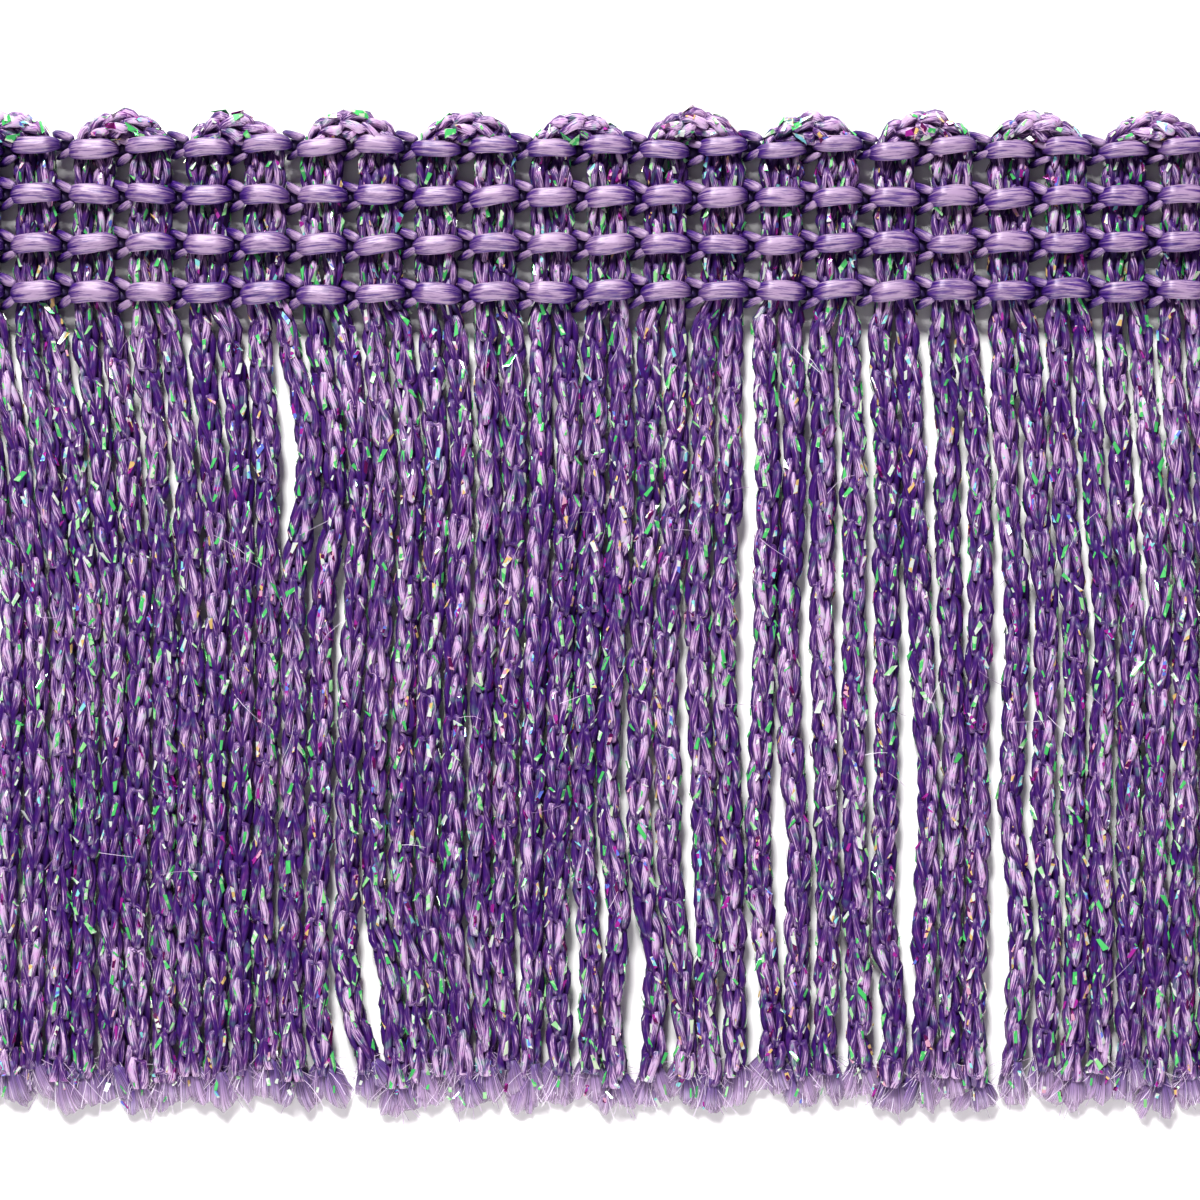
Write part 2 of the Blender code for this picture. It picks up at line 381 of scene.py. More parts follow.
def read_crest(mesh: bpy.types.Mesh) -> np.ndarray:
    """The yarn's tone with its painted light and shade at each point."""
    return read(mesh.attributes["crest"].data, "value", 1)[:, 0]


def vary_fibres(mesh: bpy.types.Mesh, offsets: np.ndarray) -> None:
    """Gives repeated shapes their own fibre lines.

    Args:
        mesh: A mesh with the attribute fibre.
        offsets: For each point, how far its lines are moved along the yarn.
    """
    fibre = read(mesh.attributes["fibre"].data, "vector", 3)
    fibre[:, 2] += offsets
    store(mesh, fibre=fibre)


def dress(piece: bpy.types.Object, slot: str, *nodes: str) -> None:
    """Ties a finished piece to the part.

    Args:
        piece: The finished piece.
        slot: A material slot's name; it is not used.
        nodes: The CAD nodes that it stands for.
    """
    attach(piece, BODY)
    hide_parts(*nodes)
    triangles = sum(len(face.vertices) - 2 for face in piece.data.polygons)
    LOG.info("%s: %d triangles", piece.name, triangles)


# --------------------------------------------------------------------------- finishes
def linear(colour: str) -> tuple[float, float, float, float]:
    """Turns an sRGB hex colour into a linear one, by the curve that sRGB is defined with.

    Args:
        colour: Six hex digits after a hash.

    Returns:
        Linear red, green and blue, and full alpha.
    """
    channels = []
    for start in (1, 3, 5):
        value = int(colour[start:start + 2], 16) / 255
        channels.append(value / 12.92 if value <= 0.04045 else ((value + 0.055) / 1.055) ** 2.4)
    return (*channels, 1.0)


def wire(node: bpy.types.Node, values: Optional[dict] = None,
         links: Optional[dict] = None) -> bpy.types.Node:
    """Sets a node's inputs, each by its name or number.

    Args:
        node: The node.
        values: What its unlinked inputs are set to.
        links: What its other inputs read: a socket, or a node whose first output is meant.

    Returns:
        The node.
    """
    for name, value in (values or {}).items():
        node.inputs[name].default_value = value
    for name, source in (links or {}).items():
        socket = source.outputs[0] if isinstance(source, bpy.types.Node) else source
        node.id_data.links.new(socket, node.inputs[name])
    return node


def add_node(tree: bpy.types.NodeTree, kind: str, settings: Optional[dict] = None,
             values: Optional[dict] = None, links: Optional[dict] = None) -> bpy.types.Node:
    """Adds a node with its settings and links.

    Args:
        tree: The material's node tree.
        kind: The node's type.
        settings: The node's own settings, by name.
        values: What its unlinked inputs are set to.
        links: What its other inputs read.

    Returns:
        The node.
    """
    node = tree.nodes.new(kind)
    for name, value in (settings or {}).items():
        setattr(node, name, value)
    return wire(node, values, links)


def limits(*values: float) -> dict[str, float]:
    """Names the limits between which a value is read, and those that it is brought to."""
    return dict(zip(("From Min", "From Max", "To Min", "To Max"), values))


def set_ramp(node: bpy.types.Node, stops: Sequence[tuple[float, str]],
             interpolation: str = "LINEAR") -> bpy.types.Node:
    """Sets a colour ramp's stops.

    Args:
        node: The colour ramp.
        stops: Places from 0 to 1 with sRGB hex colours.
        interpolation: How it blends between stops.

    Returns:
        The colour ramp.
    """
    ramp = node.color_ramp
    ramp.interpolation = interpolation
    while len(ramp.elements) < len(stops):
        ramp.elements.new(1.0)
    for element, (place, colour) in zip(ramp.elements, stops):
        element.position = place
        element.color = linear(colour)
    return node


def blank_material(name: str) -> tuple[bpy.types.Material, bpy.types.NodeTree, bpy.types.Node]:
    """Starts a material.

    Args:
        name: What the real material is.

    Returns:
        The material, its node tree and its Principled shader.
    """
    material = bpy.data.materials.new(name)
    material.use_nodes = True
    tree = material.node_tree
    return material, tree, tree.nodes["Principled BSDF"]


def fibre_lines(tree: bpy.types.NodeTree, around: float, along: float, roughness: float
                ) -> tuple[bpy.types.NodeSocket, bpy.types.NodeSocket, bpy.types.Node]:
    """Draws the filaments' lines along the yarn.

    Args:
        tree: The material's nodes.
        around: How many lines lie in a yarn's radius.
        along: How quickly they change along it.
        roughness: How much finer lines show among them.

    Returns:
        Where a point lies in its yarn, its tone with painted light and shade, and the lines.
    """
    fibre = add_node(tree, "ShaderNodeAttribute", {"attribute_name": "fibre"})
    crest = add_node(tree, "ShaderNodeAttribute", {"attribute_name": "crest"})
    drawn_out = add_node(tree, "ShaderNodeMapping", values={"Scale": (around, around, along)},
                         links={"Vector": fibre.outputs["Vector"]})
    lines = add_node(tree, "ShaderNodeTexNoise",
                     values={"Scale": 1.0, "Detail": 3.0, "Roughness": roughness},
                     links={"Vector": drawn_out})
    return fibre.outputs["Vector"], crest.outputs["Fac"], lines


@dataclass(frozen=True)
class FilamentYarn:
    """Bright viscose filament yarn: hundreds of smooth filaments with hardly any twist.

    To the eye it is a satin bundle with fine pink-lilac lines along it and a broad shine
    across the filaments where they turn to the light.  Its colour carries painted shade,
    deep violet, in its folds and down its sides, and painted light where it stands out
    to the light; the shine is real.  The lines are drawn coarser than real filaments, so
    that they show.
    """

    name: str
    shades: tuple[tuple[float, str], ...]  # painted shade in the folds up to painted light where it stands out most
    shine: str
    roughness: float
    streak_share: float
    lines_around: float
    gloss: float
    lines_along: float = 0.9
    line_roughness: float = 0.6
    line_depth: float = 0.02
    relief: float = 0.7
    drift_size: float = 3.0
    drift_share: float = 0.35
    # play paints a faint iridescent sheen over the yarn, as painted reflection
    play: float = 0.0
    play_size: float = 0.8
    play_tints: tuple[tuple[float, str], ...] = (
        (0.30, "#c04fb8"), (0.42, "#8a6fc8"), (0.58, "#5a8fd8"), (0.68, "#5fd890"))
    play_strengths: tuple[tuple[float, str], ...] = (
        (0.30, "#ffffff"), (0.44, "#000000"), (0.54, "#000000"), (0.68, "#ffffff"))
    anisotropy: float = 0.75
    across: float = 0.25  # a quarter turn, so that the shine runs across the yarn

    def build(self) -> bpy.types.Material:
        """Makes the material.

        Returns:
            The material, which reads the attributes fibre and crest, its
            painted light and shade, and runs its shine across the yarn's length.
        """
        material, tree, shader = blank_material(self.name)
        _, crest, lines = fibre_lines(tree, self.lines_around, self.lines_along,
                                      self.line_roughness)
        place = add_node(tree, "ShaderNodeTexCoord").outputs["Object"]
        drift = add_node(tree, "ShaderNodeTexNoise",
                         values={"Scale": 1 / (self.drift_size * MM), "Detail": 2.0},
                         links={"Vector": place})
        level = crest
        for pattern, share in ((lines, 1.0), (drift, self.drift_share)):
            part = add_node(tree, "ShaderNodeMapRange", {"clamp": False},
                            limits(0.5, 1.0, 0.0, share * self.streak_share),
                            {"Value": pattern})
            level = add_node(tree, "ShaderNodeMath", {"operation": "ADD"},
                             links={0: level, 1: part})
        shade = set_ramp(add_node(tree, "ShaderNodeValToRGB", links={"Fac": level}), self.shades)
        relief = add_node(tree, "ShaderNodeBump",
                          values={"Strength": self.relief, "Distance": self.line_depth * MM},
                          links={"Height": lines})
        run = add_node(tree, "ShaderNodeTangent",
                       {"direction_type": "UV_MAP", "uv_map": "UVMap"})
        wire(shader, {"Roughness": self.roughness, "Anisotropic": self.anisotropy,
                      "Anisotropic Rotation": self.across, "Specular IOR Level": self.gloss,
                      "Specular Tint": linear(self.shine)},
             {"Base Color": self.with_play(tree, shade, crest, place) if self.play else shade,
              "Normal": relief, "Tangent": run})
        return material

    def with_play(self, tree: bpy.types.NodeTree, shade: bpy.types.Node,
                  crest: bpy.types.NodeSocket, place: bpy.types.NodeSocket
                  ) -> bpy.types.NodeSocket:
        """Paints a faint iridescent sheen of green, blue and pink over the yarn's colour, as
        painted reflection that follows its painted light.

        Args:
            tree: The material's nodes.
            shade: The yarn's colour.
            crest: The yarn's tone and painted light, which the painted sheen follows.
            place: Where it is.

        Returns:
            The new colour.
        """
        patches = add_node(tree, "ShaderNodeTexNoise",
                           values={"Scale": 1 / (self.play_size * MM), "Detail": 1.0},
                           links={"Vector": place})
        tint, strength = (
            set_ramp(add_node(tree, "ShaderNodeValToRGB", links={"Fac": patches}), stops)
            for stops in (self.play_tints, self.play_strengths))
        amount = add_node(tree, "ShaderNodeMath", {"operation": "MULTIPLY"},
                          links={0: strength, 1: crest})
        part = add_node(tree, "ShaderNodeMath", {"operation": "MULTIPLY"},
                        values={1: self.play}, links={0: amount})
        mixed = add_node(tree, "ShaderNodeMix", {"data_type": "RGBA"},
                         links={"Factor": part, "A": shade, "B": tint})
        return mixed.outputs["Result"]


@dataclass(frozen=True)
class IridescentFilm:
    """Slit iridescent polyester film: flat clear strips that throw back one pure colour.

    To the eye a strip breaks into a few hard-edged colours, mostly green and white.  These
    reflected colours are painted into the strip's base colour as painted reflection, one
    to each strip, and the white ones are painted glints.
    """

    name: str = "iridescent polyester film"
    metallic: float = 0.35
    roughness: float = 0.22
    coat: float = 0.5
    coat_roughness: float = 0.1
    facet: float = 0.26
    play: float = 0.22
    # the painted reflection colours that the strips take, white ones as painted glints
    tints: tuple[tuple[float, str], ...] = (
        (0.0, "#56cc70"), (0.12, "#98e494"), (0.20, "#dfe8dc"), (0.31, "#88dcda"),
        (0.36, "#6a7ee0"), (0.39, "#a82898"), (0.46, "#5a0a4c"), (0.53, "#e4a8c2"),
        (0.56, "#e4c078"), (0.60, "#dfe8dc"), (0.70, "#a8e8a4"), (0.80, "#4cc668"),
        (0.95, "#d4e6c4"))

    def build(self) -> bpy.types.Material:
        """Makes the material.

        Returns:
            The material, which reads each strip's painted reflection colour from the attribute
            tint.
        """
        material, tree, shader = blank_material(self.name)
        tint = add_node(tree, "ShaderNodeAttribute", {"attribute_name": "tint"})
        place = add_node(tree, "ShaderNodeTexCoord")
        # Facets break each strip's painted reflection into a few colours.
        facets = add_node(tree, "ShaderNodeTexVoronoi",
                          values={"Scale": 1 / (self.facet * MM)},
                          links={"Vector": place.outputs["Object"]})
        swing = add_node(tree, "ShaderNodeMapRange", None,
                         limits(0.0, 1.0, -self.play / 2, self.play / 2),
                         {"Value": facets.outputs["Color"]})
        turned = add_node(tree, "ShaderNodeMath", {"operation": "ADD"},
                          links={0: tint.outputs["Fac"], 1: swing})
        colour = set_ramp(add_node(tree, "ShaderNodeValToRGB", links={"Fac": turned}),
                          self.tints, "CONSTANT")
        wire(shader, {"Metallic": self.metallic, "Roughness": self.roughness,
                      "Coat Weight": self.coat, "Coat Roughness": self.coat_roughness},
             {"Base Color": colour})
        return material


@dataclass(frozen=True)
class OpenedFilaments:
    """Cut yarn that has opened: loose clear filaments, pale where they lie singly.

    To the eye it is a milky lilac web with lines fanning through it and a ragged edge.
    """

    name: str = "opened viscose filaments"
    # shades by the filaments' tone, thick to single, with painted light on pleat ridges
    shades: tuple[tuple[float, str], ...] = (
        (0.05, "#482a70"), (0.6, "#a98cb0"), (1.0, "#e6dcea"))
    lines_around: float = 6.0
    lines_along: float = 0.5
    line_roughness: float = 0.5
    line_light: tuple[float, ...] = (0.36, 0.64, 0.56, 1.35)  # read between, brought to
    web: tuple[float, ...] = (0.3, 0.7, 0.0, 1.6)  # by the lines
    thinning: tuple[float, ...] = (0.7, 1.05, 0.0, 1.1)  # towards the filaments' ends
    cover: tuple[float, ...] = (-0.2, 0.8, 0.2, 1.0)
    line_depth: float = 0.012
    relief: float = 0.7
    roughness: float = 0.5
    sheen: float = 0.3

    def build(self) -> bpy.types.Material:
        """Makes the material.

        Returns:
            The material, which reads the attributes fibre, whose third value counts
            along the filaments to their ends, and crest, their tone with painted
            light on the pleats.
        """
        material, tree, shader = blank_material(self.name)
        fibre, crest, lines = fibre_lines(tree, self.lines_around, self.lines_along,
                                          self.line_roughness)
        shade = set_ramp(add_node(tree, "ShaderNodeValToRGB", links={"Fac": crest}), self.shades)
        line_light = add_node(tree, "ShaderNodeMapRange", None, limits(*self.line_light),
                              {"Value": lines})
        colour = add_node(tree, "ShaderNodeVectorMath", {"operation": "SCALE"},
                          links={0: shade, "Scale": line_light})
        web = add_node(tree, "ShaderNodeMapRange", None, limits(*self.web), {"Value": lines})
        parts = add_node(tree, "ShaderNodeSeparateXYZ", links={0: fibre})
        thinning = add_node(tree, "ShaderNodeMapRange", None, limits(*self.thinning),
                            {"Value": parts.outputs["Z"]})
        left = add_node(tree, "ShaderNodeMath", {"operation": "SUBTRACT"},
                        links={0: web, 1: thinning})
        cover = add_node(tree, "ShaderNodeMapRange", None, limits(*self.cover),
                         {"Value": left})
        relief = add_node(tree, "ShaderNodeBump",
                          values={"Strength": self.relief, "Distance": self.line_depth * MM},
                          links={"Height": lines})
        wire(shader, {"Roughness": self.roughness, "Sheen Weight": self.sheen},
             {"Base Color": colour, "Normal": relief, "Alpha": cover})
        return material


class Finish(Enum):
    """The trim's finishes."""

    CORD = FilamentYarn(
        "violet chainette yarn",
        # shades: painted shade in the folds up to painted light where the yarn stands out
        ((0.0, "#2e0b59"), (0.2, "#391859"), (0.45, "#4e2d65"), (0.68, "#684a79"),
         (0.9, "#8a6d95"), (1.25, "#bfa1c2")),
        shine="#ffe6f6", roughness=0.42, streak_share=2.3, lines_around=3.4, gloss=0.45,
        line_depth=0.05, play=0.2, play_size=0.5)
    SATIN = FilamentYarn(
        "lilac satin thread",
        # shades: painted shade at the ends and pinches up to painted light on the bundles
        ((0.12, "#22084e"), (0.34, "#3a1870"), (0.56, "#563a70"), (0.82, "#725a7e"),
         (1.15, "#947b9a")),
        shine="#fff2fa", roughness=0.44, streak_share=1.6, lines_around=6.0, gloss=0.55)
    FILM = IridescentFilm()
    FRAY = OpenedFilaments()

    def material(self) -> bpy.types.Material:
        """The finish's material, made on its first use."""
        return bpy.data.materials.get(self.value.name) or self.value.build()


# ---------------------------------------------------------------- one course of knitting
HALF_LOOP = (  # share of half a loop, rise, part of a wale from its middle, outward,
    # fullness, and painted light: lighter where legs and shoulders turn to the light, painted
    # shade at the foot and inside
    (0.000, -1.00, 0.50, -1.0, 0.70, 0.2),   # the turn to the next loop, inside
    (0.167, -0.84, 0.11, -0.4, 0.75, 0.3),   # the foot of the V
    (0.333, -0.40, 0.18, 0.5, 0.90, 0.45),
    (0.500, 0.08, 0.28, 1.0, 1.08, 0.8),
    (0.667, 0.52, 0.37, 1.0, 1.12, 1.15),
    (0.833, 0.87, 0.41, 0.3, 1.00, 1.0),     # the shoulder
    (1.000, 1.00, 0.00, -1.2, 0.70, 0.1),    # the head, inside
)


@dataclass
class ChainetteCourse:
    """One course of the knitted cord: three loops round a small tube, along X.

    Each loop's two legs stand outside and open towards +X, like a V.  Its head and the
    turn to the next loop dip inside, where the neighbouring courses cover them.  The
    loops climb round the tube like a stair, so that their shoulders interlock.  A core
    coloured the darkest shade fills the tube: painted shade for the shadow deep inside,
    which also keeps light from coming through between the loops.
    """

    wales: int = 3
    pitch: float = 1.84
    sides: int = 6
    outer_radius: float = 0.745
    yarn_radius: float = 0.235
    dip: float = 0.13
    half_height: float = 1.10
    shadow_radius: float = 0.36  # where no light reaches in
    fibre_step: float = 0.4
    core_radius: float = 0.34
    core_overlap: float = 1.04
    core_painted_shade: float = -0.4
    film_thickness: float = 0.014
    film_gap: float = 0.01
    film_points: int = 8  # a strip is a flat box
    film_faces: int = 6
    leg_films: tuple[tuple[float, ...], ...] = (  # start, end, seat at each, width
        (0.24, 0.38, 0.20, 0.80, 0.26),   # along the leg's inner side
        (0.33, 0.44, -0.35, 0.20, 0.22),  # over the shoulder
        (0.13, 0.24, 0.50, 0.30, 0.26),   # in the foot of the V
    )
    small_turn: float = 0.002  # of a loop, for reading which way the yarn runs
    pattern: Optional[bpy.types.Object] = None  # build fills this in, and the rest
    film_flat: Optional[np.ndarray] = None
    loop_points: int = 0
    yarn_points: int = 0
    yarn_faces: int = 0

    @property
    def points_per_loop(self) -> int:
        """The points of one loop: its stations out and back."""
        return 2 * (len(HALF_LOOP) - 1)

    @property
    def films(self) -> int:
        """Film strips in the pattern, of which many are left out later."""
        return 2 * self.wales * len(self.leg_films)

    def loop_at(self, turn: np.ndarray) -> tuple[np.ndarray, np.ndarray, np.ndarray]:
        """Works out the yarn's way round one course.

        Args:
            turn: How far round, in loops.

        Returns:
            The path's points in millimetres, and the yarn's fullness and painted light at each.
        """
        loop = np.floor(turn)
        way = turn - loop
        side = np.where(way < 0.5, -1.0, 1.0)
        share = 2 * np.minimum(way, 1 - way)
        stations = np.array(HALF_LOOP)
        rise, apart, outward, fullness, light = (
            np.interp(share, stations[:, 0], column) for column in stations.T[1:])
        most = stations[:, 4].max()
        radius = self.outer_radius - self.yarn_radius * most - self.dip * (1 - outward)
        angle = TURN / self.wales * (loop + side * apart)
        climb = self.pitch / self.wales * (loop % self.wales - (self.wales - 1) / 2)
        path = np.column_stack((self.half_height * rise + climb, radius * np.sin(angle),
                                radius * np.cos(angle)))
        return path, fullness, light

    def build(self) -> None:
        """Models the course and its film strips as the pattern that the cords copy."""
        count = self.wales * self.points_per_loop
        path, fullness, light = self.loop_at(np.arange(count) / self.points_per_loop)
        ring = added(bpy.ops.mesh.primitive_circle_add, vertices=count, radius=MM)
        write_points(ring.data, path)
        bpy.ops.object.convert(target="CURVE")
        ring.data.bevel_depth = self.yarn_radius * MM
        ring.data.bevel_resolution = (self.sides - 4) // 2  # four sides, and two a step
        near = []
        for point in ring.data.splines[0].points:
            near.append(int(((path - np.array(point.co[:3]) / MM) ** 2).sum(axis=1).argmin()))
            point.radius = fullness[near[-1]]
        bpy.ops.object.convert(target="MESH")
        self.mark_yarn(ring.data, path, np.repeat(near, self.sides), light)
        self.loop_points = len(ring.data.vertices)
        ring = join([ring, self.core()], "yarn")
        self.yarn_points, self.yarn_faces = len(ring.data.vertices), len(ring.data.polygons)
        strips = [self.film_strip(leg, strip) for leg in range(2 * self.wales)
                  for strip in self.leg_films]
        self.pattern = join([ring, *strips], "course pattern")
        mesh = self.pattern.data
        mesh.materials.clear()
        for finish in (Finish.CORD, Finish.FILM):
            mesh.materials.append(finish.material())
        is_film = np.arange(len(mesh.polygons)) >= self.yarn_faces
        mesh.polygons.foreach_set("material_index", is_film.astype(np.int32))

    def mark_yarn(self, mesh: bpy.types.Mesh, path: np.ndarray, near: np.ndarray,
                  light: np.ndarray) -> None:
        """Stores where each point of the yarn lies in it, and its painted light and shade, for the
        finish.

        Args:
            mesh: The meshed loop of yarn.
            path: The yarn's middle line.
            near: For each point of the mesh, the number of the nearest one on the path.
            light: The painted light at each point of the path.
        """
        points = read_points(mesh)
        away = (points - path[near]) / self.yarn_radius
        radial = unit(path[near] * (0, 1, 1))
        side = np.cross(radial, (1.0, 0.0, 0.0))
        from_axis = np.linalg.norm(points[:, 1:], axis=1)
        # Painted shade: darker deeper towards the tube's axis, where less light reaches, times the
        # path's painted light.
        crest = (from_axis - self.shadow_radius) / (self.outer_radius - self.shadow_radius)
        store(mesh, crest=np.clip(crest, 0, 1) * light[near],
              fibre=np.column_stack(((away * radial).sum(axis=1), (away * side).sum(axis=1),
                                     near * self.fibre_step)))
        mesh.shade_smooth()

    def core(self) -> bpy.types.Object:
        """Models the core that fills the tube's inside, seen deep between the loops, in the
        darkest shade as painted shade.

        Returns:
            The core, with the attributes that the finish reads.
        """
        core = settle(added(bpy.ops.mesh.primitive_cylinder_add, vertices=self.sides,
                            radius=self.core_radius * MM,
                            depth=self.core_overlap * self.pitch * MM,
                            rotation=(0, TURN / 4, 0)))
        points = read_points(core.data)
        # The core takes the darkest painted shade.
        store(core.data, fibre=points[:, (1, 2, 0)] / self.core_radius,
              crest=np.full(len(points), self.core_painted_shade))
        core.data.shade_smooth()
        return core

    def film_strip(self, leg: int, strip: tuple[float, ...]) -> bpy.types.Object:
        """Models a flat strip of film that lies along one leg.

        Args:
            leg: The leg, counted round the cord.
            strip: Where it starts and ends along the leg, how far it is seated to the
                leg's side at each, and its width.

        Returns:
            The strip.
        """
        piece = added(bpy.ops.mesh.primitive_cube_add, size=MM)
        flat = self.film_flat = read_points(piece.data)
        start, end, seat_at_start, seat_at_end, width = strip
        loop, down = divmod(leg, 2)
        share = flat[:, 0] + 0.5
        turn = start + (end - start) * share
        turn = loop + (1 - turn if down else turn)
        path, fullness, _ = self.loop_at(turn)
        run = unit(self.loop_at(turn + self.small_turn)[0] - path)
        radial = path * (0, 1, 1)
        radial = unit(radial - run * (radial * run).sum(axis=1)[:, None])
        side = np.cross(run, radial)
        seat = (seat_at_start + (seat_at_end - seat_at_start) * share)[:, None]
        if bool(down) != (loop == 1):  # the middle loop carries its film on the other side
            seat = -seat
        up = radial * np.cos(seat) - side * np.sin(seat)
        across = radial * np.sin(seat) + side * np.cos(seat)
        reach = self.yarn_radius * fullness[:, None] + self.film_thickness * flat[:, 2:3]
        write_points(piece.data,
                     path + up * (reach + self.film_gap) + across * width * flat[:, 1:2])
        return piece


# --------------------------------------------------------------------- the knitted cords
@dataclass
class KnittedCords:
    """The 24 cords: each runs up a strand, through the heading, over a scallop and back.

    Four strands belong to a scallop: its outer cord hangs as the first and the last of
    them, and its inner cord as the two between.
    """

    layout: TrimLayout
    course: ChainetteCourse
    route_step: float = 0.7
    shallowest: float = 0.9
    fray_length: float = 1.5
    floor_gap: float = 0.03
    room_share: float = 0.55
    thinnest: float = 0.54
    thickest: float = 0.7
    root_swell: float = 0.12
    held_depth: float = 3.0  # how far down the heading still holds a strand's width
    bound_depth: float = 2.2  # and its height
    lift: float = 0.10
    lift_depth: float = 6.0
    lift_wave: tuple[float, float] = (0.31, 2.4)  # with depth, from strand to strand
    heading_z: float = 1.02
    heading_radius: float = 0.62
    heading_start: float = 0.1
    heading_steps: int = 6
    squeeze: tuple[float, float] = (0.06, 0.04)  # everywhere, and more in each row
    bound_radius: float = 0.52
    arch_radius: float = 0.84
    arch_steps: int = 12
    arch_squareness: float = 0.26  # 0 is an ellipse
    front_lift: float = 0.45
    back_drop: float = 0.35
    inner_rise: float = 0.85
    spring: float = 0.1
    rise_wave: tuple[float, float] = (0.10, 2.4)  # size, from scallop to scallop
    lean_wave: tuple[float, ...] = (0.16, 1.9, 0.6)  # size, from scallop to scallop, start
    wale_scatter: float = 0.25
    twists: tuple[tuple[float, ...], ...] = (  # least and most: swing, beat, phase
        (0.1, 34, 0), (0.4, 62, TURN))
    tensions: tuple[float, float] = (0.94, 1.06)
    course_shift: float = 0.09
    course_fullness: float = 0.05
    course_turn: float = 0.07
    ruffles: tuple[tuple[float, ...], ...] = (  # least and most: share, beat, phase
        (0.03, 1.5, 0), (0.09, 2.6, 6.28))
    ruffle_sides: int = 2
    ripple: tuple[float, ...] = (0.05, 3.1, 3, 2.2)  # size, with x, angle and course
    slide: tuple[float, ...] = (0.12, 0, 2, 1.7)
    wander: tuple[float, ...] = (0.10, 0, 0, 1.3)
    fibre_draw: float = 200.0  # how much pattern there is to draw fibre lines from
    leg_scatter: float = 0.16
    arch_closeness: float = 1.0
    close_up_points: int = 400
    # The next fields paint shade down the cord's lower sides and edges and light on the scallops,
    # and make the yarn paler near its cut end.
    dark_below: float = 0.28
    dark_rise: float = 0.4
    side_shade: float = 0.1
    edge_start: float = 0.4
    edge_reach: float = 0.45
    edge_shade: float = 0.6
    scallop_painted_light: float = 0.42
    scallop_fade: tuple[float, float] = (0.3, 0.6)  # above row 1: start, reach
    end_light: float = 0.35
    end_fade: tuple[float, float] = (2.6, 2.2)  # above the frayed end: start, reach
    film_start: float = 0.2  # this and the next shares are chances
    film_run: tuple[int, int] = (2, 6)  # courses, the last one left out
    film_kept: float = 0.8
    film_strays: float = 0.5
    film_heading: float = 0.2
    film_on_scallop: float = 0.4
    heading_length: float = 12.0  # both lengths run from the scallop's top along a cord
    heading_enlarged: float = 0.15
    scallop_length: float = 2.6
    scallop_enlarged: float = 0.6
    film_shear: float = 0.32
    film_taper: float = 0.72
    film_sizes: tuple[float, float] = (0.25, 0.85)
    film_shift: float = 0.03
    film_lean: float = 0.28
    film_lifts: tuple[float, float] = (-0.01, 0.06)
    seed: int = 1187

    def __post_init__(self) -> None:
        """Works out the strands' places and starts the random draws."""
        self.depths, self.places = self.layout.place_table()
        self.random = np.random.default_rng(self.seed)

    def strand_x(self, strand: int, depth: float) -> float:
        """A strand's middle at a depth."""
        return float(np.interp(depth, self.depths, self.places[:, strand]))

    def strand_radius(self, strand: int, depth: float) -> float:
        """Finds how thick a strand is: full where it has room, squeezed where not.

        Args:
            strand: The strand.
            depth: How far below the heading.

        Returns:
            Its radius.
        """
        x = self.strand_x(strand, depth)
        rooms = [abs(self.strand_x(other, depth) - x) for other in (strand - 1, strand + 1)
                 if 0 <= other < self.layout.strands]
        free = min(max(self.room_share * min(rooms), self.thinnest), self.thickest)
        root = self.bound_radius + self.root_swell
        return root + (free - root) * min(depth / self.held_depth, 1.0)

    def strand_rows(self, strand: int) -> Rows:
        """Works out the way of a strand, from its cut end up to the heading.

        Args:
            strand: The strand.

        Returns:
            The rows of its route.
        """
        layout = self.layout
        neck = layout.strand_length(strand) - self.fray_length
        rows = []
        for depth in np.arange(neck, self.shallowest, -self.route_step):
            radius = self.strand_radius(strand, depth)
            with_depth, with_strand = self.lift_wave
            wave = math.sin(with_depth * depth + with_strand * strand)
            lift = self.lift * (1 + wave + strand % 2) * min(depth / self.lift_depth, 1)
            bound = max(0.0, 1 - depth / self.bound_depth)
            rows.append((self.strand_x(strand, depth), layout.fringe_top_y - depth,
                         (radius + lift) * (1 - bound) + self.heading_z * bound, radius))
        return rows

    def heading_rows(self, strand: int) -> Rows:
        """Works out the way up through the heading, squeezed by each row of stitches.

        Args:
            strand: The strand that comes out below.

        Returns:
            The rows of its route.
        """
        layout = self.layout
        side = 1 if strand % 2 else -1
        rows = []
        for y in np.arange(layout.fringe_top_y + self.heading_start,
                           layout.row_1_y + self.spring,
                           layout.row_pitch / self.heading_steps):
            phase = math.cos(TURN * (y - layout.row_1_y) / layout.row_pitch)
            radius = self.heading_radius + (self.bound_radius - self.heading_radius) * (
                0.5 + 0.5 * phase)
            everywhere, in_rows = self.squeeze
            squeeze = side * (everywhere + in_rows * phase)
            rows.append((layout.root_x(strand) - squeeze, y, self.heading_z, radius))
        return rows

    def arch_rows(self, strand: int) -> Rows:
        """Works out the way from the heading's top to the top of the scallop.

        Args:
            strand: The strand that hangs below.

        Returns:
            The rows of its route.
        """
        layout = self.layout
        loop, place = divmod(strand, 4)
        outer = place in (0, 3)
        side = 1 if place < 2 else -1
        span = layout.column_pitch / 2 + (layout.cord_spread if outer else -layout.cord_spread)
        size, beat = self.rise_wave
        unevenness = size * (math.sin(beat * loop) - 1)
        rise = (layout.scallop_rise - self.arch_radius + unevenness if outer
                else self.inner_rise)
        lift = self.front_lift if outer else -self.back_drop
        size, beat, start = self.lean_wave
        lean = size * math.sin(beat * loop + start)
        rows = []
        for step in range(self.arch_steps + 1):
            angle = TURN / 4 * (1 - step / self.arch_steps)
            across, height = math.sin(angle), math.cos(angle)
            across = (1 - self.arch_squareness) * across + self.arch_squareness * across ** 4
            rows.append((layout.root_x(strand) + side * span * (1 - across) + lean * height,
                         layout.row_1_y + self.spring + (rise - self.spring) * height,
                         self.heading_z + lift * height * height,
                         self.bound_radius + (self.arch_radius - self.bound_radius) * height))
        return rows

    def half_route(self, strand: int) -> np.ndarray:
        """The way of half a cord, from its cut end to the top of its scallop."""
        return np.array(self.strand_rows(strand) + self.heading_rows(strand)
                        + self.arch_rows(strand))

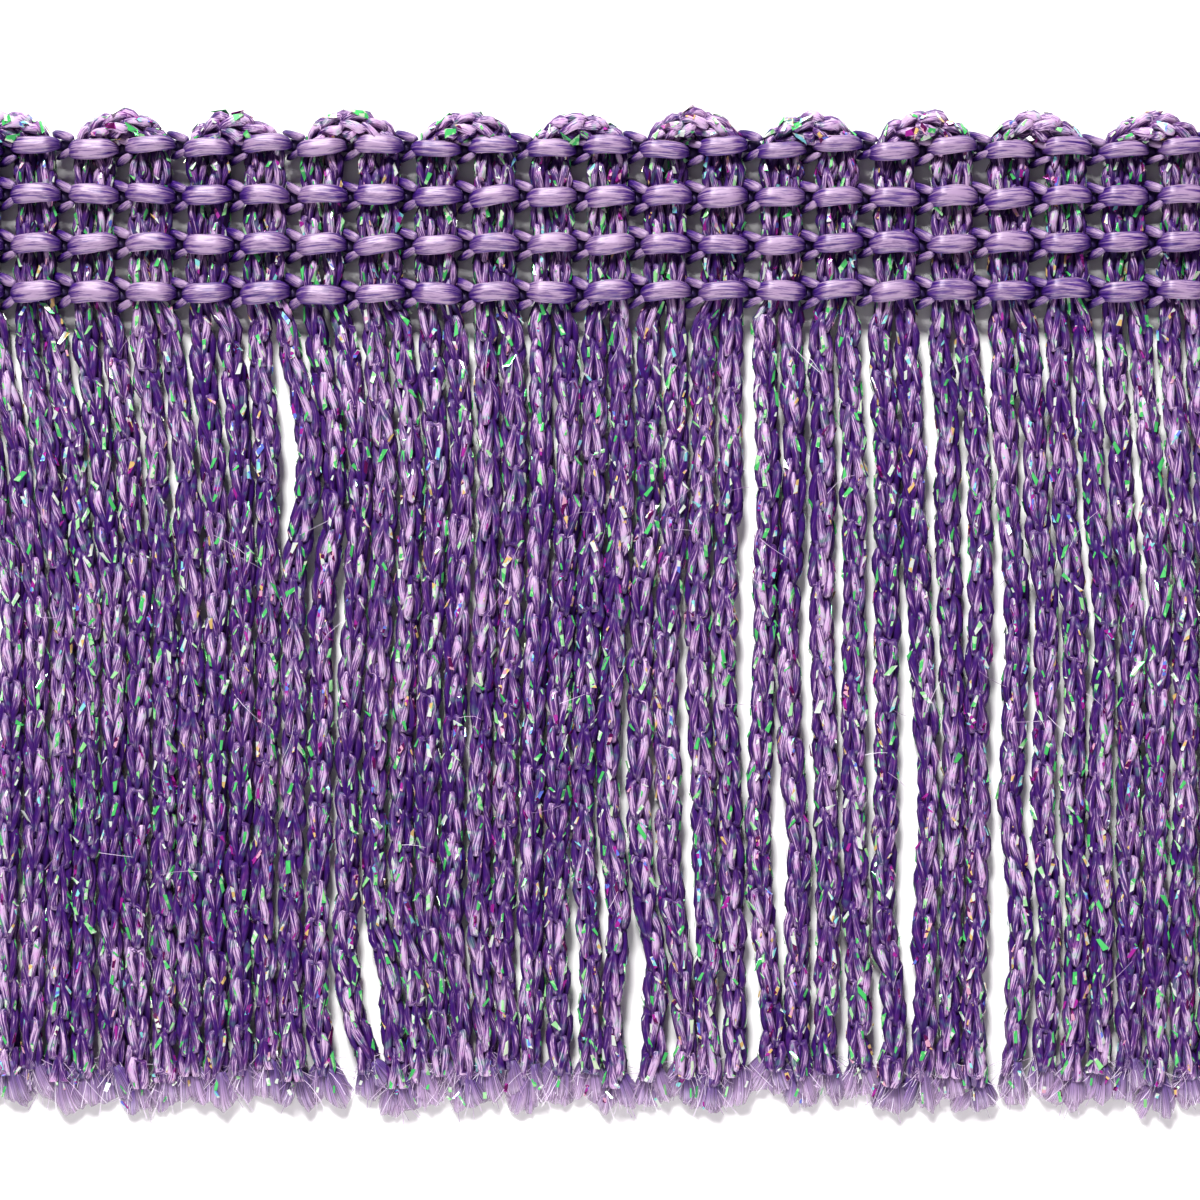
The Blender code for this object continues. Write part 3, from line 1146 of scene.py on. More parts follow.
    def guide(self, route: np.ndarray) -> bpy.types.Object:
        """Makes the curve that the knitting is bent along.

        Args:
            route: Rows of x, y, z and radius.

        Returns:
            The curve, turning slowly as it goes.
        """
        curve = bpy.data.curves.new("cord guide", "CURVE")
        curve.dimensions = "3D"
        curve.twist_mode = "Z_UP"
        spline = curve.splines.new("POLY")
        spline.points.add(len(route) - 1)
        lengths = np.linalg.norm(np.diff(route[:, :3], axis=0), axis=1)
        travelled = np.concatenate(((0.0,), np.cumsum(lengths)))
        wale = int(self.random.integers(self.course.wales))
        start = TURN * wale / self.course.wales + self.random.normal(0, self.wale_scatter)
        swing, beat, phase = self.random.uniform(*self.twists)
        for point, row, way in zip(spline.points, route, travelled):
            point.co = (*in_metres(*row[:3]), 1)
            point.radius = row[3] / self.course.outer_radius
            point.tilt = start + swing * math.sin(TURN * way / beat + phase)
        guide = bpy.data.objects.new("cord guide", curve)
        bpy.context.collection.objects.link(guide)
        return guide

    def repeated(self, name: str, length: float) -> bpy.types.Object:
        """Copies the course along X until it fills a length.

        Args:
            name: The new piece's name.
            length: How long it has to be.

        Returns:
            The straight piece of knitting.
        """
        knitting = copy_of(self.course.pattern, name)
        tension = self.random.uniform(*self.tensions)
        courses = max(2, round(length / self.course.pitch * tension))
        repeat(knitting, courses, length / courses)
        self.loosen(knitting.data, courses, length / courses)
        self.close_up(knitting.data, length)
        from_top = np.abs((np.arange(courses) + 0.5) / courses - 0.5) * length
        self.choose_films(knitting, courses, from_top[:, None])
        return knitting

    def loosen(self, mesh: bpy.types.Mesh, courses: int, pitch: float) -> None:
        """Makes every course a little unlike the next, as worked yarn is.

        Args:
            mesh: The straight piece of knitting.
            courses: How many courses it has.
            pitch: The length of one.
        """
        points = read_points(mesh)
        each = len(points) // courses
        course = np.arange(len(points)) // each
        shift = self.random.normal(0, self.course_shift, courses)[course]
        fullness = self.random.normal(1.0, self.course_fullness, courses)[course]
        turn = self.random.normal(0, self.course_turn, courses)[course]
        x, y, z = points.T
        angle = np.arctan2(y, z)
        share, beat, phase = self.random.uniform(*self.ruffles)

        def wave(size: float, with_x: float, with_angle: float,
                 with_course: float) -> np.ndarray:
            """A wave that runs along and round the knitting."""
            return size * np.sin(with_x * x + with_angle * angle + with_course * course + phase)

        ruffle = wave(share, beat, self.ruffle_sides, 0) + wave(*self.ripple)
        radius = np.hypot(y, z) * fullness * (1 + ruffle)
        turned = angle + turn + wave(*self.wander)
        write_points(mesh, np.column_stack((x + shift + 0.5 * pitch + wave(*self.slide),
                                            radius * np.sin(turned),
                                            radius * np.cos(turned))))
        vary_fibres(mesh, self.random.uniform(0, self.fibre_draw, courses)[course])
        legs = 2 * self.course.wales
        leg = np.minimum(np.arange(each) * legs // self.course.loop_points, legs - 1)
        # Each leg's painted light differs a little at random.
        light = self.random.normal(1, self.leg_scatter, (courses, legs))[:, leg].ravel()
        store(mesh, crest=read_crest(mesh) * light)

    def close_up(self, mesh: bpy.types.Mesh, length: float) -> None:
        """Moves the courses closer together where the cord turns over its scallop.

        Args:
            mesh: The straight piece of knitting.
            length: Its length.
        """
        along = np.linspace(0, length, self.close_up_points)
        from_top = (along - length / 2) / self.scallop_length
        counted = np.cumsum(1 + self.arch_closeness * np.exp(-from_top ** 2))
        counted = (counted - counted[0]) * length / (counted[-1] - counted[0])
        points = read_points(mesh)
        points[:, 0] = np.interp(points[:, 0], counted, along)
        write_points(mesh, points)

    def shade(self, mesh: bpy.types.Mesh, route: np.ndarray) -> None:
        """Paints shade down a cord's lower sides and edges and light on its scallops, and makes it
        paler near its cut ends.

        The cord rests on the surface, so it is also pressed flat where it would go below.

        Args:
            mesh: The finished cord.
            route: The cord's middle line with its radius.
        """
        points = read_points(mesh)
        points[:, 2] = np.maximum(points[:, 2], self.floor_gap)
        write_points(mesh, points)
        near = ((points[:, None, :2] - route[None, :, :2]) ** 2).sum(axis=2).argmin(axis=1)
        aside, _, height = ((points - route[near, :3]) / route[near, 3:]).T
        start, reach = self.scallop_fade
        on_scallop = np.clip((points[:, 1] - self.layout.row_1_y - start) / reach, 0, 1)
        start, reach = self.end_fade
        above_end = points[:, 1] + self.layout.overall_height / 2 - self.fray_length
        at_end = np.clip((start - above_end) / reach, 0, 1)
        # Painted shade on the lower sides and towards the edges, except on the scallops, which get
        # painted light.
        shown = np.clip((height - self.dark_below) / self.dark_rise, 0, 1)
        edge = np.clip((np.abs(aside) - self.edge_start) / self.edge_reach, 0, 1)
        crest = read_crest(mesh) * (self.side_shade + (1 - self.side_shade) * shown)
        crest *= 1 - self.edge_shade * edge * (1 - on_scallop)
        store(mesh, crest=crest + self.scallop_painted_light * on_scallop + self.end_light * at_end)

    def choose_films(self, knitting: bpy.types.Object, courses: int,
                     from_top: np.ndarray) -> None:
        """Keeps the film strips that show, in runs of one colour, and removes the rest.

        Args:
            knitting: The straight piece of knitting.
            courses: How many courses it has.
            from_top: How far each course is from the top of the scallop.
        """
        course, random = self.course, self.random
        shape = (courses, course.films)
        keep = np.zeros(shape, dtype=bool)
        tint = np.zeros(shape)
        for film in range(course.films):
            step = 0
            while step < courses:
                if random.random() < self.film_start:
                    run = int(random.integers(*self.film_run))
                    keep[step:step + run, film] = True
                    # A run of strips shares one painted reflection colour.
                    tint[step:step + run, film] = random.random()
                    step += run
                step += 1
        keep &= random.random(shape) < self.film_kept
        in_heading = from_top < self.heading_length
        on_scallop = from_top < self.scallop_length
        strays = random.random(shape) < self.film_strays + self.film_heading * in_heading
        tint = np.where(strays & ~keep, random.random(shape), tint)
        keep |= strays
        keep &= ~on_scallop | (random.random(shape) < self.film_on_scallop)
        mesh = knitting.data
        self.crumple_films(mesh, courses, 1 + self.heading_enlarged * in_heading
                           + self.scallop_enlarged * on_scallop)
        drop = np.zeros((courses, len(mesh.polygons) // courses), dtype=bool)
        colour = np.zeros(drop.shape)
        drop[:, course.yarn_faces:] = np.repeat(~keep, course.film_faces, axis=1)
        colour[:, course.yarn_faces:] = np.repeat(tint, course.film_faces, axis=1)
        store(mesh, tint=colour.ravel())
        for parts in (mesh.vertices, mesh.edges):
            parts.foreach_set("select", np.zeros(len(parts), dtype=bool))
        mesh.polygons.foreach_set("select", drop.ravel())
        select_only(knitting)
        bpy.ops.object.mode_set(mode="EDIT")
        bpy.ops.mesh.select_mode(type="FACE")
        bpy.ops.mesh.delete(type="FACE")
        bpy.ops.object.mode_set(mode="OBJECT")

    def crumple_films(self, mesh: bpy.types.Mesh, courses: int, larger: np.ndarray) -> None:
        """Gives each film strip its own length, width, place and twist.

        Args:
            mesh: The straight piece of knitting.
            courses: How many courses it has.
            larger: How much larger each course's strips are.
        """
        course, random = self.course, self.random
        points = read_points(mesh).reshape(courses, -1, 3)
        strips = points[:, course.yarn_points:].reshape(courses, course.films,
                                                        course.film_points, 3)
        each = (courses, course.films, 1, 1)
        middle = strips.mean(axis=2, keepdims=True)
        away = strips - middle
        along, across = course.film_flat[:, 0:1], course.film_flat[:, 1:2]
        length, width = (2 * (away * np.sign(flat)).mean(axis=2, keepdims=True)
                         for flat in (along, across))
        shear = random.uniform(-self.film_shear, self.film_shear, each)
        taper = random.uniform(-self.film_taper, self.film_taper, each)
        away = away + shear * across * length + taper * along * across * width
        size = random.uniform(*self.film_sizes, each) * larger[:, :, None, None]
        away = size * away + random.normal(0, self.film_shift, (*each[:3], 3))
        radial = unit(middle * (0, 1, 1))
        away += np.cross(radial, away) * random.normal(0, self.film_lean, each)
        away += radial * random.uniform(*self.film_lifts, each)
        points[:, course.yarn_points:] = (middle + away).reshape(courses, -1, 3)
        write_points(mesh, points.reshape(-1, 3))

    def cord(self, name: str, left: int, right: int) -> bpy.types.Object:
        """Bends a straight piece of knitting up one strand, over a scallop and down again.

        Args:
            name: The piece's name.
            left: The strand where it starts.
            right: The strand where it ends.

        Returns:
            The knitted cord.
        """
        route = np.vstack((self.half_route(left), self.half_route(right)[-2::-1]))
        length = float(np.linalg.norm(np.diff(route[:, :3], axis=0), axis=1).sum())
        knitting = self.repeated(name, length)
        guide = self.guide(route)
        modify(knitting, "CURVE", object=guide, deform_axis="POS_X")
        self.shade(knitting.data, route)
        remove([guide])
        return knitting

    def build(self) -> None:
        """Makes the cords, two to each scallop."""
        for loop in range(self.layout.columns // 2):
            for side, left, right in (("outer", 0, 3), ("inner", 1, 2)):
                cord = self.cord(f"knitted_cord_{loop + 1:02d}_{side}", 4 * loop + left,
                                 4 * loop + right)
                dress(cord, "cord_yarn", f"scallop_{loop + 1:02d}_{side}", "fringe")


# ------------------------------------------------------------------------ chain stitches
@dataclass
class SatinRows:
    """Four rows of chain stitch in satin thread.

    Each stitch is a full leaf-shaped bundle in front of a column.  At the pinch between
    two columns it dives to a straight bar on the back, and two short legs of the next
    loop show above and below.
    """

    layout: TrimLayout
    half_length: float = 1.42
    half_height: float = 0.485
    fullness: float = 0.33
    back_fullness: float = 0.55
    front_z: float = 1.72
    dive: float = 0.9
    dive_power: float = 5.0
    droop: float = 0.12
    segments: int = 30
    rings: int = 14
    blunt_end: tuple[float, float] = (5.0, 0.65)  # powers along the bundle and of the whole
    drawn_end: tuple[float, float] = (3.6, 0.75)
    grooves: float = 0.06
    coarse_grooves: tuple[float, ...] = (7, 1.6, 1.7)  # round the bundle, swing, beat
    fine_grooves: tuple[float, ...] = (12, 0.7, 2.3)  # round the bundle, share, slant
    light: tuple[float, float] = (0.80, 0.18)  # painted light: everywhere, and a painted highlight between grooves
    end_painted_shade: tuple[float, ...] = (1.25, 1.2, 2.2)  # painted shade towards the ends: at the middle, loss, power
    # painted light on the bundle's top
    top_painted_light: tuple[float, float] = (0.7, 0.4)
    fibre_length: float = 1.5
    parts: tuple[tuple[Point, Point, float, int, int, float], ...] = (
        # start and end from the column's middle, thickness, points round and along, painted light
        ((0.73, 0.80, 0.62), (2.05, 0.22, 1.70), 0.24, 10, 7, 1.0),     # upper leg
        ((0.95, -0.80, 0.62), (2.05, -0.30, 1.66), 0.204, 10, 7, 1.0),  # lower leg
        ((0.79, 0, 0.7224), (2.11, 0, 0.7224), 0.36, 8, 6, -0.6),       # knot in the pinch, in the darkest shade as painted shade
        ((-1.36, 0.05, 0.18), (1.36, -0.05, 0.18), 0.18, 10, 9, 1.0),   # bar on the back
    )
    spindle_shape: tuple[float, float] = (3, 0.6)  # powers along it and of the whole
    spindle_painted_light: tuple[float, float] = (0.6, 0.4)  # painted light: everywhere, and more on top
    start_painted_shade: tuple[float, ...] = (0.6, 1.2, 1.15)  # painted shade at the start: light at the middle, rise, most
    height_scatter: float = 0.05
    tilt_scatter: float = 0.03
    row_scatter: float = 0.04
    place_scatter: float = 0.03
    first_row_height: float = 0.9
    first_row_shift: float = 0.10
    bow: tuple[float, float] = (0.05, 1.6)  # size, beat
    ripple: tuple[float, ...] = (0.04, 9, 1.8)  # share, beats across and along
    sway: tuple[float, float] = (0.06, 0.09)  # size, beat
    fibre_draw: float = 200.0
    seed: int = 77

    def __post_init__(self) -> None:
        """Starts the random draws."""
        self.random = np.random.default_rng(self.seed)

    def bundle(self, segments: int, rings: int) -> tuple[bpy.types.Object, np.ndarray, np.ndarray]:
        """Starts a bundle of thread along X from a ball with its poles on X.

        Args:
            segments: Points round it.
            rings: Points along it.

        Returns:
            The ball, where its points are along X from -1 to 1, and round X as angles.
        """
        ball = settle(added(bpy.ops.mesh.primitive_uv_sphere_add, segments=segments,
                            ring_count=rings, radius=1.0, rotation=(0, TURN / 4, 0)))
        x, y, z = read_points(ball.data).T * MM
        uv = ball.data.uv_layers[0].data
        uv.foreach_set("uv", read(uv, "uv", 2)[:, ::-1].ravel())
        return ball, 1 - 4 * np.arccos(np.clip(x, -1, 1)) / TURN, np.arctan2(y, z)

    def finish_bundle(self, piece: bpy.types.Object, points: np.ndarray, along: np.ndarray,
                      angle: np.ndarray, crest: np.ndarray) -> bpy.types.Object:
        """Writes a bundle's shape and what its finish reads.

        Args:
            piece: The bundle.
            points: Its points in millimetres.
            along: Where they are along it.
            angle: Where they are round it.
            crest: Their painted light and shade, from 0 to 1.

        Returns:
            The bundle.
        """
        write_points(piece.data, points)
        store(piece.data, crest=np.clip(crest, -1, 1), fibre=np.column_stack(
            (np.cos(angle), np.sin(angle), self.fibre_length * along)))
        piece.data.shade_smooth()
        return piece

    def front_bundle(self) -> bpy.types.Object:
        """Models the full bundle that crosses a column's front: blunt, then drawn to a point.

        Returns:
            The bundle.
        """
        ball, along, angle = self.bundle(self.segments, self.rings)
        from_middle, up = np.abs(along), np.cos(angle)
        blunt, drawn = ((1 - from_middle ** inner).clip(0, 1) ** outer
                        for inner, outer in (self.blunt_end, self.drawn_end))
        count, swing, beat = self.coarse_grooves
        lines = np.cos(count * angle + swing * np.sin(beat * along))
        count, share, slant = self.fine_grooves
        lines = lines + share * np.cos(count * angle - slant * along)
        swell = np.where(along < 0, blunt, drawn) * (1 + self.grooves * lines)
        y = (self.half_height * swell * np.sin(angle)
             - self.droop * np.clip(-along, 0, 1) ** 2)
        z = (self.front_z + self.fullness * swell * np.where(up > 0, up, self.back_fullness * up)
             - self.dive * from_middle ** self.dive_power)
        # Painted light: lighter between grooves and on top, painted shade towards the ends.
        everywhere, between = self.light
        middle, loss, power = self.end_painted_shade
        least, more = self.top_painted_light
        crest = ((everywhere + between * lines) * (middle - loss * from_middle ** power)
                 * (least + more * up))
        points = np.column_stack((self.half_length * along, y, z))
        return self.finish_bundle(ball, points, along, angle, crest)

    def spindle(self, start: Point, end: Point, radius: float, segments: int, rings: int,
                light: float) -> bpy.types.Object:
        """Models a short bundle between two points, thick in the middle, with painted shade at its
        start.

        Args:
            start: One end.
            end: The other end.
            radius: Its thickness at the middle.
            segments: Points round it.
            rings: Points along it.
            light: How much painted light it gets.

        Returns:
            The bundle.
        """
        ball, along, angle = self.bundle(segments, rings)
        way = Vector(end) - Vector(start)
        turn = np.array(way.to_track_quat("X", "Z").to_matrix())
        inner, outer = self.spindle_shape
        full = radius * np.clip(1 - np.abs(along) ** inner, 0, 1) ** outer
        straight = np.column_stack((0.5 * way.length * along, full * np.sin(angle),
                                    full * np.cos(angle)))
        middle = np.array((Vector(start) + Vector(end)) / 2)
        # Painted light on top, painted shade at its start.
        everywhere, on_top = self.spindle_painted_light
        at_middle, rise, most = self.start_painted_shade
        crest = (light * (everywhere + on_top * np.cos(angle))
                 * np.clip(at_middle + rise * along, 0, most))
        return self.finish_bundle(ball, straight @ turn.T + middle, along, angle, crest)

    def build(self) -> None:
        """Models one stitch and makes the four rows from it."""
        shapes = [self.front_bundle()] + [self.spindle(*part) for part in self.parts]
        pattern = join(shapes, "stitch pattern")
        pattern.data.materials.clear()
        pattern.data.materials.append(Finish.SATIN.material())
        for row in range(self.layout.rows):
            piece = copy_of(pattern, f"satin_row_{row + 1}")
            repeat(piece, self.layout.columns, self.layout.column_pitch)
            self.place_row(piece.data, row)
            dress(piece, "satin_thread", f"binding_row_{row + 1}")
        remove([pattern])

    def place_row(self, mesh: bpy.types.Mesh, row: int) -> None:
        """Puts a row in its place and makes its stitches uneven.

        Args:
            mesh: The row's mesh.
            row: The row, 0 at the scallops.
        """
        layout, random, stitches = self.layout, self.random, self.layout.columns
        x, y, z = read_points(mesh).T
        stitch = np.arange(len(x)) // (len(x) // stitches)
        height = random.normal(1, self.height_scatter, stitches)[stitch]
        tilt = random.normal(0, self.tilt_scatter, stitches)[stitch]
        shift = random.normal(0, self.row_scatter, stitches)[stitch]
        if row == 0:
            height = self.first_row_height * height
            shift = shift + self.first_row_shift * np.where(stitch % 2, 1, -1)
        phase = random.uniform(0, TURN, stitches)[stitch]
        local = x - stitch * layout.column_pitch
        size, beat = self.bow
        bow = size * np.sin(beat * local + phase)
        share, beat_across, beat_along = self.ripple
        ripple = 1 + share * np.sin(beat_across * y + beat_along * local + phase)
        size, beat = self.sway
        y = (y * height * ripple + tilt * local + shift + bow + layout.row_y(row)
             + size * np.sin(beat * x + row))
        x = x + layout.column_x(0) + random.normal(0, self.place_scatter, stitches)[stitch]
        write_points(mesh, np.column_stack((x, y, z)))
        vary_fibres(mesh, random.uniform(0, self.fibre_draw, stitches)[stitch])


# --------------------------------------------------------------------------- frayed ends
@dataclass
class FrayedEnds:
    """The strands' cut ends: the yarn has opened into pleated fans and single filaments.

    A few more filaments have worked loose along the strands.
    """

    layout: TrimLayout
    cords: KnittedCords
    length: float = 2.12
    overlap: float = 0.55
    neck_width: float = 0.55
    end_width: float = 1.45
    flare: float = 0.8
    widths: tuple[float, float] = (0.6, 1.2)
    lengths: tuple[float, float] = (0.85, 1.12)
    fan_starts: tuple[float, float] = (-0.1, 0.3)
    fan_turn: float = 0.12
    fan_bend: float = 0.12
    fall_power: float = 5.0
    sheet: float = 0.04  # how thick the fan is
    pleats: int = 14
    sheet_rows: int = 5
    pleat_beats: tuple[float, float] = (6, 13)
    second_pleats: tuple[float, float] = (0.6, 1.7)  # size, beat
    pleat_height: float = 0.045
    ragged_waves: tuple[tuple[float, float], ...] = ((0.05, 4), (0.02, 11))  # share, beat
    end_round: float = 0.25
    dome: float = 0.30
    dome_fade: float = 0.4
    lines_across: float = 3.0
    fan_lights: tuple[float, float] = (-0.1, 0.15)
    end_light: float = 0.5
    pleat_painted_light: float = 0.1
    edge_dark: float = 0.1
    fans: tuple[tuple[float, ...], ...] = (  # to the side, height, how far the end falls
        (0.1, 0.30, 0.25), (-0.2, 0.65, 0.55), (0.2, 0.85, 0.70))
    hairs: int = 32
    hair_radii: tuple[float, float] = (0.016, 0.01)
    hair_cuts: tuple[float, ...] = (-0.35, -0.7)  # where it can bend
    hair_lengths: tuple[float, float] = (0.4, 1.08)
    hair_bend: float = 0.45
    hair_spring: float = 0.12
    hair_falls: tuple[float, float] = (0.1, 0.5)
    hair_turn: float = 0.5
    hair_spread: float = 0.24
    hair_starts: tuple[float, float] = (-0.3, 0.7)
    hair_heights: tuple[float, float] = (0.8, 1.1)
    hair_lights: tuple[float, float] = (0.2, 0.9)
    hair_end_light: float = 0.2
    flakes: int = 2
    flake_turns: tuple[float, ...] = (0.3, 0.5, 0.35)
    flake_widths: tuple[float, float] = (0.08, 0.2)
    flake_lengths: tuple[float, float] = (0.2, 0.6)
    flake_spread: float = 0.35
    flake_starts: tuple[float, float] = (0.2, 1.7)
    flake_height: float = 1.1
    look_back: float = 3.0  # how far up a strand its way is read from
    fibre_draw: float = 90.0
    strands_per_piece: int = 12
    strays: int = 70
    stray_depths: tuple[float, float] = (1.0, 6.0)  # clear of the heading and of the end
    stray_heights: tuple[float, float] = (1.5, 1.75)
    seed: int = 431
    flat_sheet: Optional[bpy.types.Object] = None  # build fills these in
    straight_hair: Optional[bpy.types.Object] = None

    def __post_init__(self) -> None:
        """Starts the random draws."""
        self.random = np.random.default_rng(self.seed)

    def sheet_pattern(self) -> bpy.types.Object:
        """Models the flat closed sheet that every fan is shaped from.

        Returns:
            The sheet, one unit each way.
        """
        sheet = added(bpy.ops.mesh.primitive_grid_add, x_subdivisions=self.pleats,
                      y_subdivisions=self.sheet_rows, size=1.0)
        modify(sheet, "SOLIDIFY", thickness=1.0, offset=0.0)
        sheet.data.shade_smooth()
        sheet.data.materials.append(Finish.FRAY.material())
        return sheet

    def fan(self, start: Point, angle: float, fall: float) -> bpy.types.Object:
        """Shapes a fan of opened yarn: domed, pleated lengthwise, ragged at its end.

        Args:
            start: Where it comes out of the strand.
            angle: How far it swings to +X, in radians.
            fall: How far its end sinks.

        Returns:
            The fan.
        """
        random = self.random
        piece = copy_of(self.flat_sheet, "fan")
        across, along, skin = (read_points(piece.data) * MM * (2, -1, 1) + (0, 0.5, 0)).T
        phases = random.uniform(0, TURN, 4)
        width = self.neck_width + (self.end_width * random.uniform(*self.widths)
                                   - self.neck_width) * along ** self.flare
        ragged = 1 - self.end_round * across ** 2
        for (share, beat), phase in zip(self.ragged_waves, phases):
            ragged = ragged + share * np.sin(beat * across + phase)
        beat = random.uniform(*self.pleat_beats)
        size, faster = self.second_pleats
        pleat = (np.cos(beat * across + phases[2])
                 + size * np.cos(faster * beat * across + phases[3])) * along
        x = 0.5 * width * across + random.normal(0, self.fan_bend) * along ** 2
        y = -self.length * random.uniform(*self.lengths) * along * ragged
        z = (self.dome * (1 - across ** 2) * (1 - self.dome_fade * along)
             + self.pleat_height * pleat - fall * along ** self.fall_power
             + self.sheet * skin)
        write_points(piece.data, self.turned(np.column_stack((x, y, z)), start, angle))
        draw = random.uniform(0, self.fibre_draw)
        light = random.uniform(*self.fan_lights)
        # Fibre lines and tone, paler towards the filaments' ends and darker to the sides, with
        # painted light on the pleats' ridges.
        store(piece.data, fibre=np.column_stack((self.lines_across * across + draw,
                                                 0.5 * skin, along)),
              crest=(light + self.end_light * along + self.pleat_painted_light * pleat
                     - self.edge_dark * across ** 2))
        return piece

    def turned(self, points: np.ndarray, start: Point, angle: float) -> np.ndarray:
        """Turns points about Z and moves them to a strand's end, no lower than the surface.

        Args:
            points: The points, from the yarn's end.
            start: Where the yarn's end is.
            angle: How far they swing to +X, in radians.

        Returns:
            The points in their place.
        """
        x, y, z = points.T
        return np.column_stack((x * math.cos(angle) - y * math.sin(angle) + start[0],
                                x * math.sin(angle) + y * math.cos(angle) + start[1],
                                np.maximum(z + start[2], self.cords.floor_gap)))

    def hair_pattern(self) -> bpy.types.Object:
        """Models one loose filament: a fine three-sided rod along -Y.

        Returns:
            The filament, one unit long, with points enough to bend.
        """
        root, tip = self.hair_radii
        hair = settle(added(bpy.ops.mesh.primitive_cone_add, vertices=3, radius1=root,
                            radius2=tip, depth=1.0, location=(0, -0.5, 0),
                            rotation=(-TURN / 4, 0, 0)))
        bpy.ops.object.mode_set(mode="EDIT")
        for cut in self.hair_cuts:
            bpy.ops.mesh.select_all(action="SELECT")
            bpy.ops.mesh.bisect(plane_co=(0, cut, 0), plane_no=(0, 1, 0))
        bpy.ops.object.mode_set(mode="OBJECT")
        hair.data.materials.append(Finish.FRAY.material())
        return hair

    def hair(self, start: Point, angle: float) -> bpy.types.Object:
        """Lays a filament that springs up a little and bends to one side.

        Args:
            start: Where it comes out of the strand.
            angle: How far it swings to +X, in radians.

        Returns:
            The filament.
        """
        random = self.random
        piece = copy_of(self.straight_hair, "filament")
        x, y, z = read_points(piece.data).T * MM
        along = -y
        x = x + random.normal(0, self.hair_bend) * along ** 2
        y = y * (self.length * random.uniform(*self.hair_lengths))
        z = (z + self.hair_spring * np.sin(TURN / 2 * along)
             - random.uniform(*self.hair_falls) * along ** 2)
        write_points(piece.data, self.turned(np.column_stack((x, y, z)), start, angle))
        draw = np.full(len(along), random.uniform(0, self.fibre_draw))
        store(piece.data, fibre=np.column_stack((draw, 0 * along, 0.5 * along)),
              crest=random.uniform(*self.hair_lights) + self.hair_end_light * along)
        return piece

    def flake(self, start: Point) -> bpy.types.Object:
        """Lays a short end of film among the filaments.

        Args:
            start: Where it lies.

        Returns:
            The film.
        """
        turns = self.random.normal(0, self.flake_turns)
        film = added(bpy.ops.mesh.primitive_cube_add, size=MM, location=in_metres(*start),
                     rotation=turns)
        film.scale = (self.random.uniform(*self.flake_widths),
                      self.random.uniform(*self.flake_lengths),
                      self.cords.course.film_thickness)
        settle(film)
        # The film's painted reflection colour.
        store(film.data, tint=np.full(len(film.data.polygons), self.random.random()))
        film.data.materials.append(Finish.FILM.material())
        return film

    def strand_end(self, strand: int) -> list[bpy.types.Object]:
        """Frays one strand's end.

        Args:
            strand: The strand.

        Returns:
            Its fans, filaments and ends of film.
        """
        random = self.random
        neck = self.layout.strand_length(strand) - self.cords.fray_length - self.overlap
        x = self.cords.strand_x(strand, neck)
        above = self.cords.strand_x(strand, neck - self.look_back)
        way = math.atan2(x - above, self.look_back)
        y = self.layout.fringe_top_y - neck
        parts = []
        for side, height, fall in self.fans:
            start = (x + side, y + random.uniform(*self.fan_starts), height)
            angle = way + side + random.normal(0, self.fan_turn)
            parts.append(self.fan(start, angle, fall))
        for _ in range(self.hairs):
            angle = way + random.normal(0, self.hair_turn)
            start = (x + random.normal(0, self.hair_spread),
                     y + random.uniform(*self.hair_starts),
                     random.uniform(*self.hair_heights))
            parts.append(self.hair(start, angle))
        for _ in range(self.flakes):
            start = (x + random.normal(0, self.flake_spread),
                     y - random.uniform(*self.flake_starts), self.flake_height)
            parts.append(self.flake(start))
        return parts

    def stray_filaments(self) -> list[bpy.types.Object]:
        """Lays single filaments that have worked loose along the strands.

        Returns:
            The filaments.
        """
        random, loose = self.random, []
        for _ in range(self.strays):
            strand = int(random.integers(self.layout.strands))
            below_heading, above_end = self.stray_depths
            depth = random.uniform(below_heading, self.layout.longest - above_end)
            start = (self.cords.strand_x(strand, depth), self.layout.fringe_top_y - depth,
                     random.uniform(*self.stray_heights))
            loose.append(self.hair(start, random.uniform(-TURN / 2, TURN / 2)))
        return loose

    def build(self) -> None:
        """Makes the frayed ends, a few strands to a piece, and the stray filaments."""
        self.flat_sheet, self.straight_hair = self.sheet_pattern(), self.hair_pattern()
        count = self.strands_per_piece
        for number in range(self.layout.strands // count):
            parts = [part for strand in range(number * count, (number + 1) * count)
                     for part in self.strand_end(strand)]
            dress(join(parts, f"frayed_ends_{number + 1}"), "fringe_yarn", "fringe")
        self.random = np.random.default_rng(self.seed + 1)
        dress(join(self.stray_filaments(), "loose_filaments"), "fringe_yarn", "fringe")
        remove([self.flat_sheet, self.straight_hair])


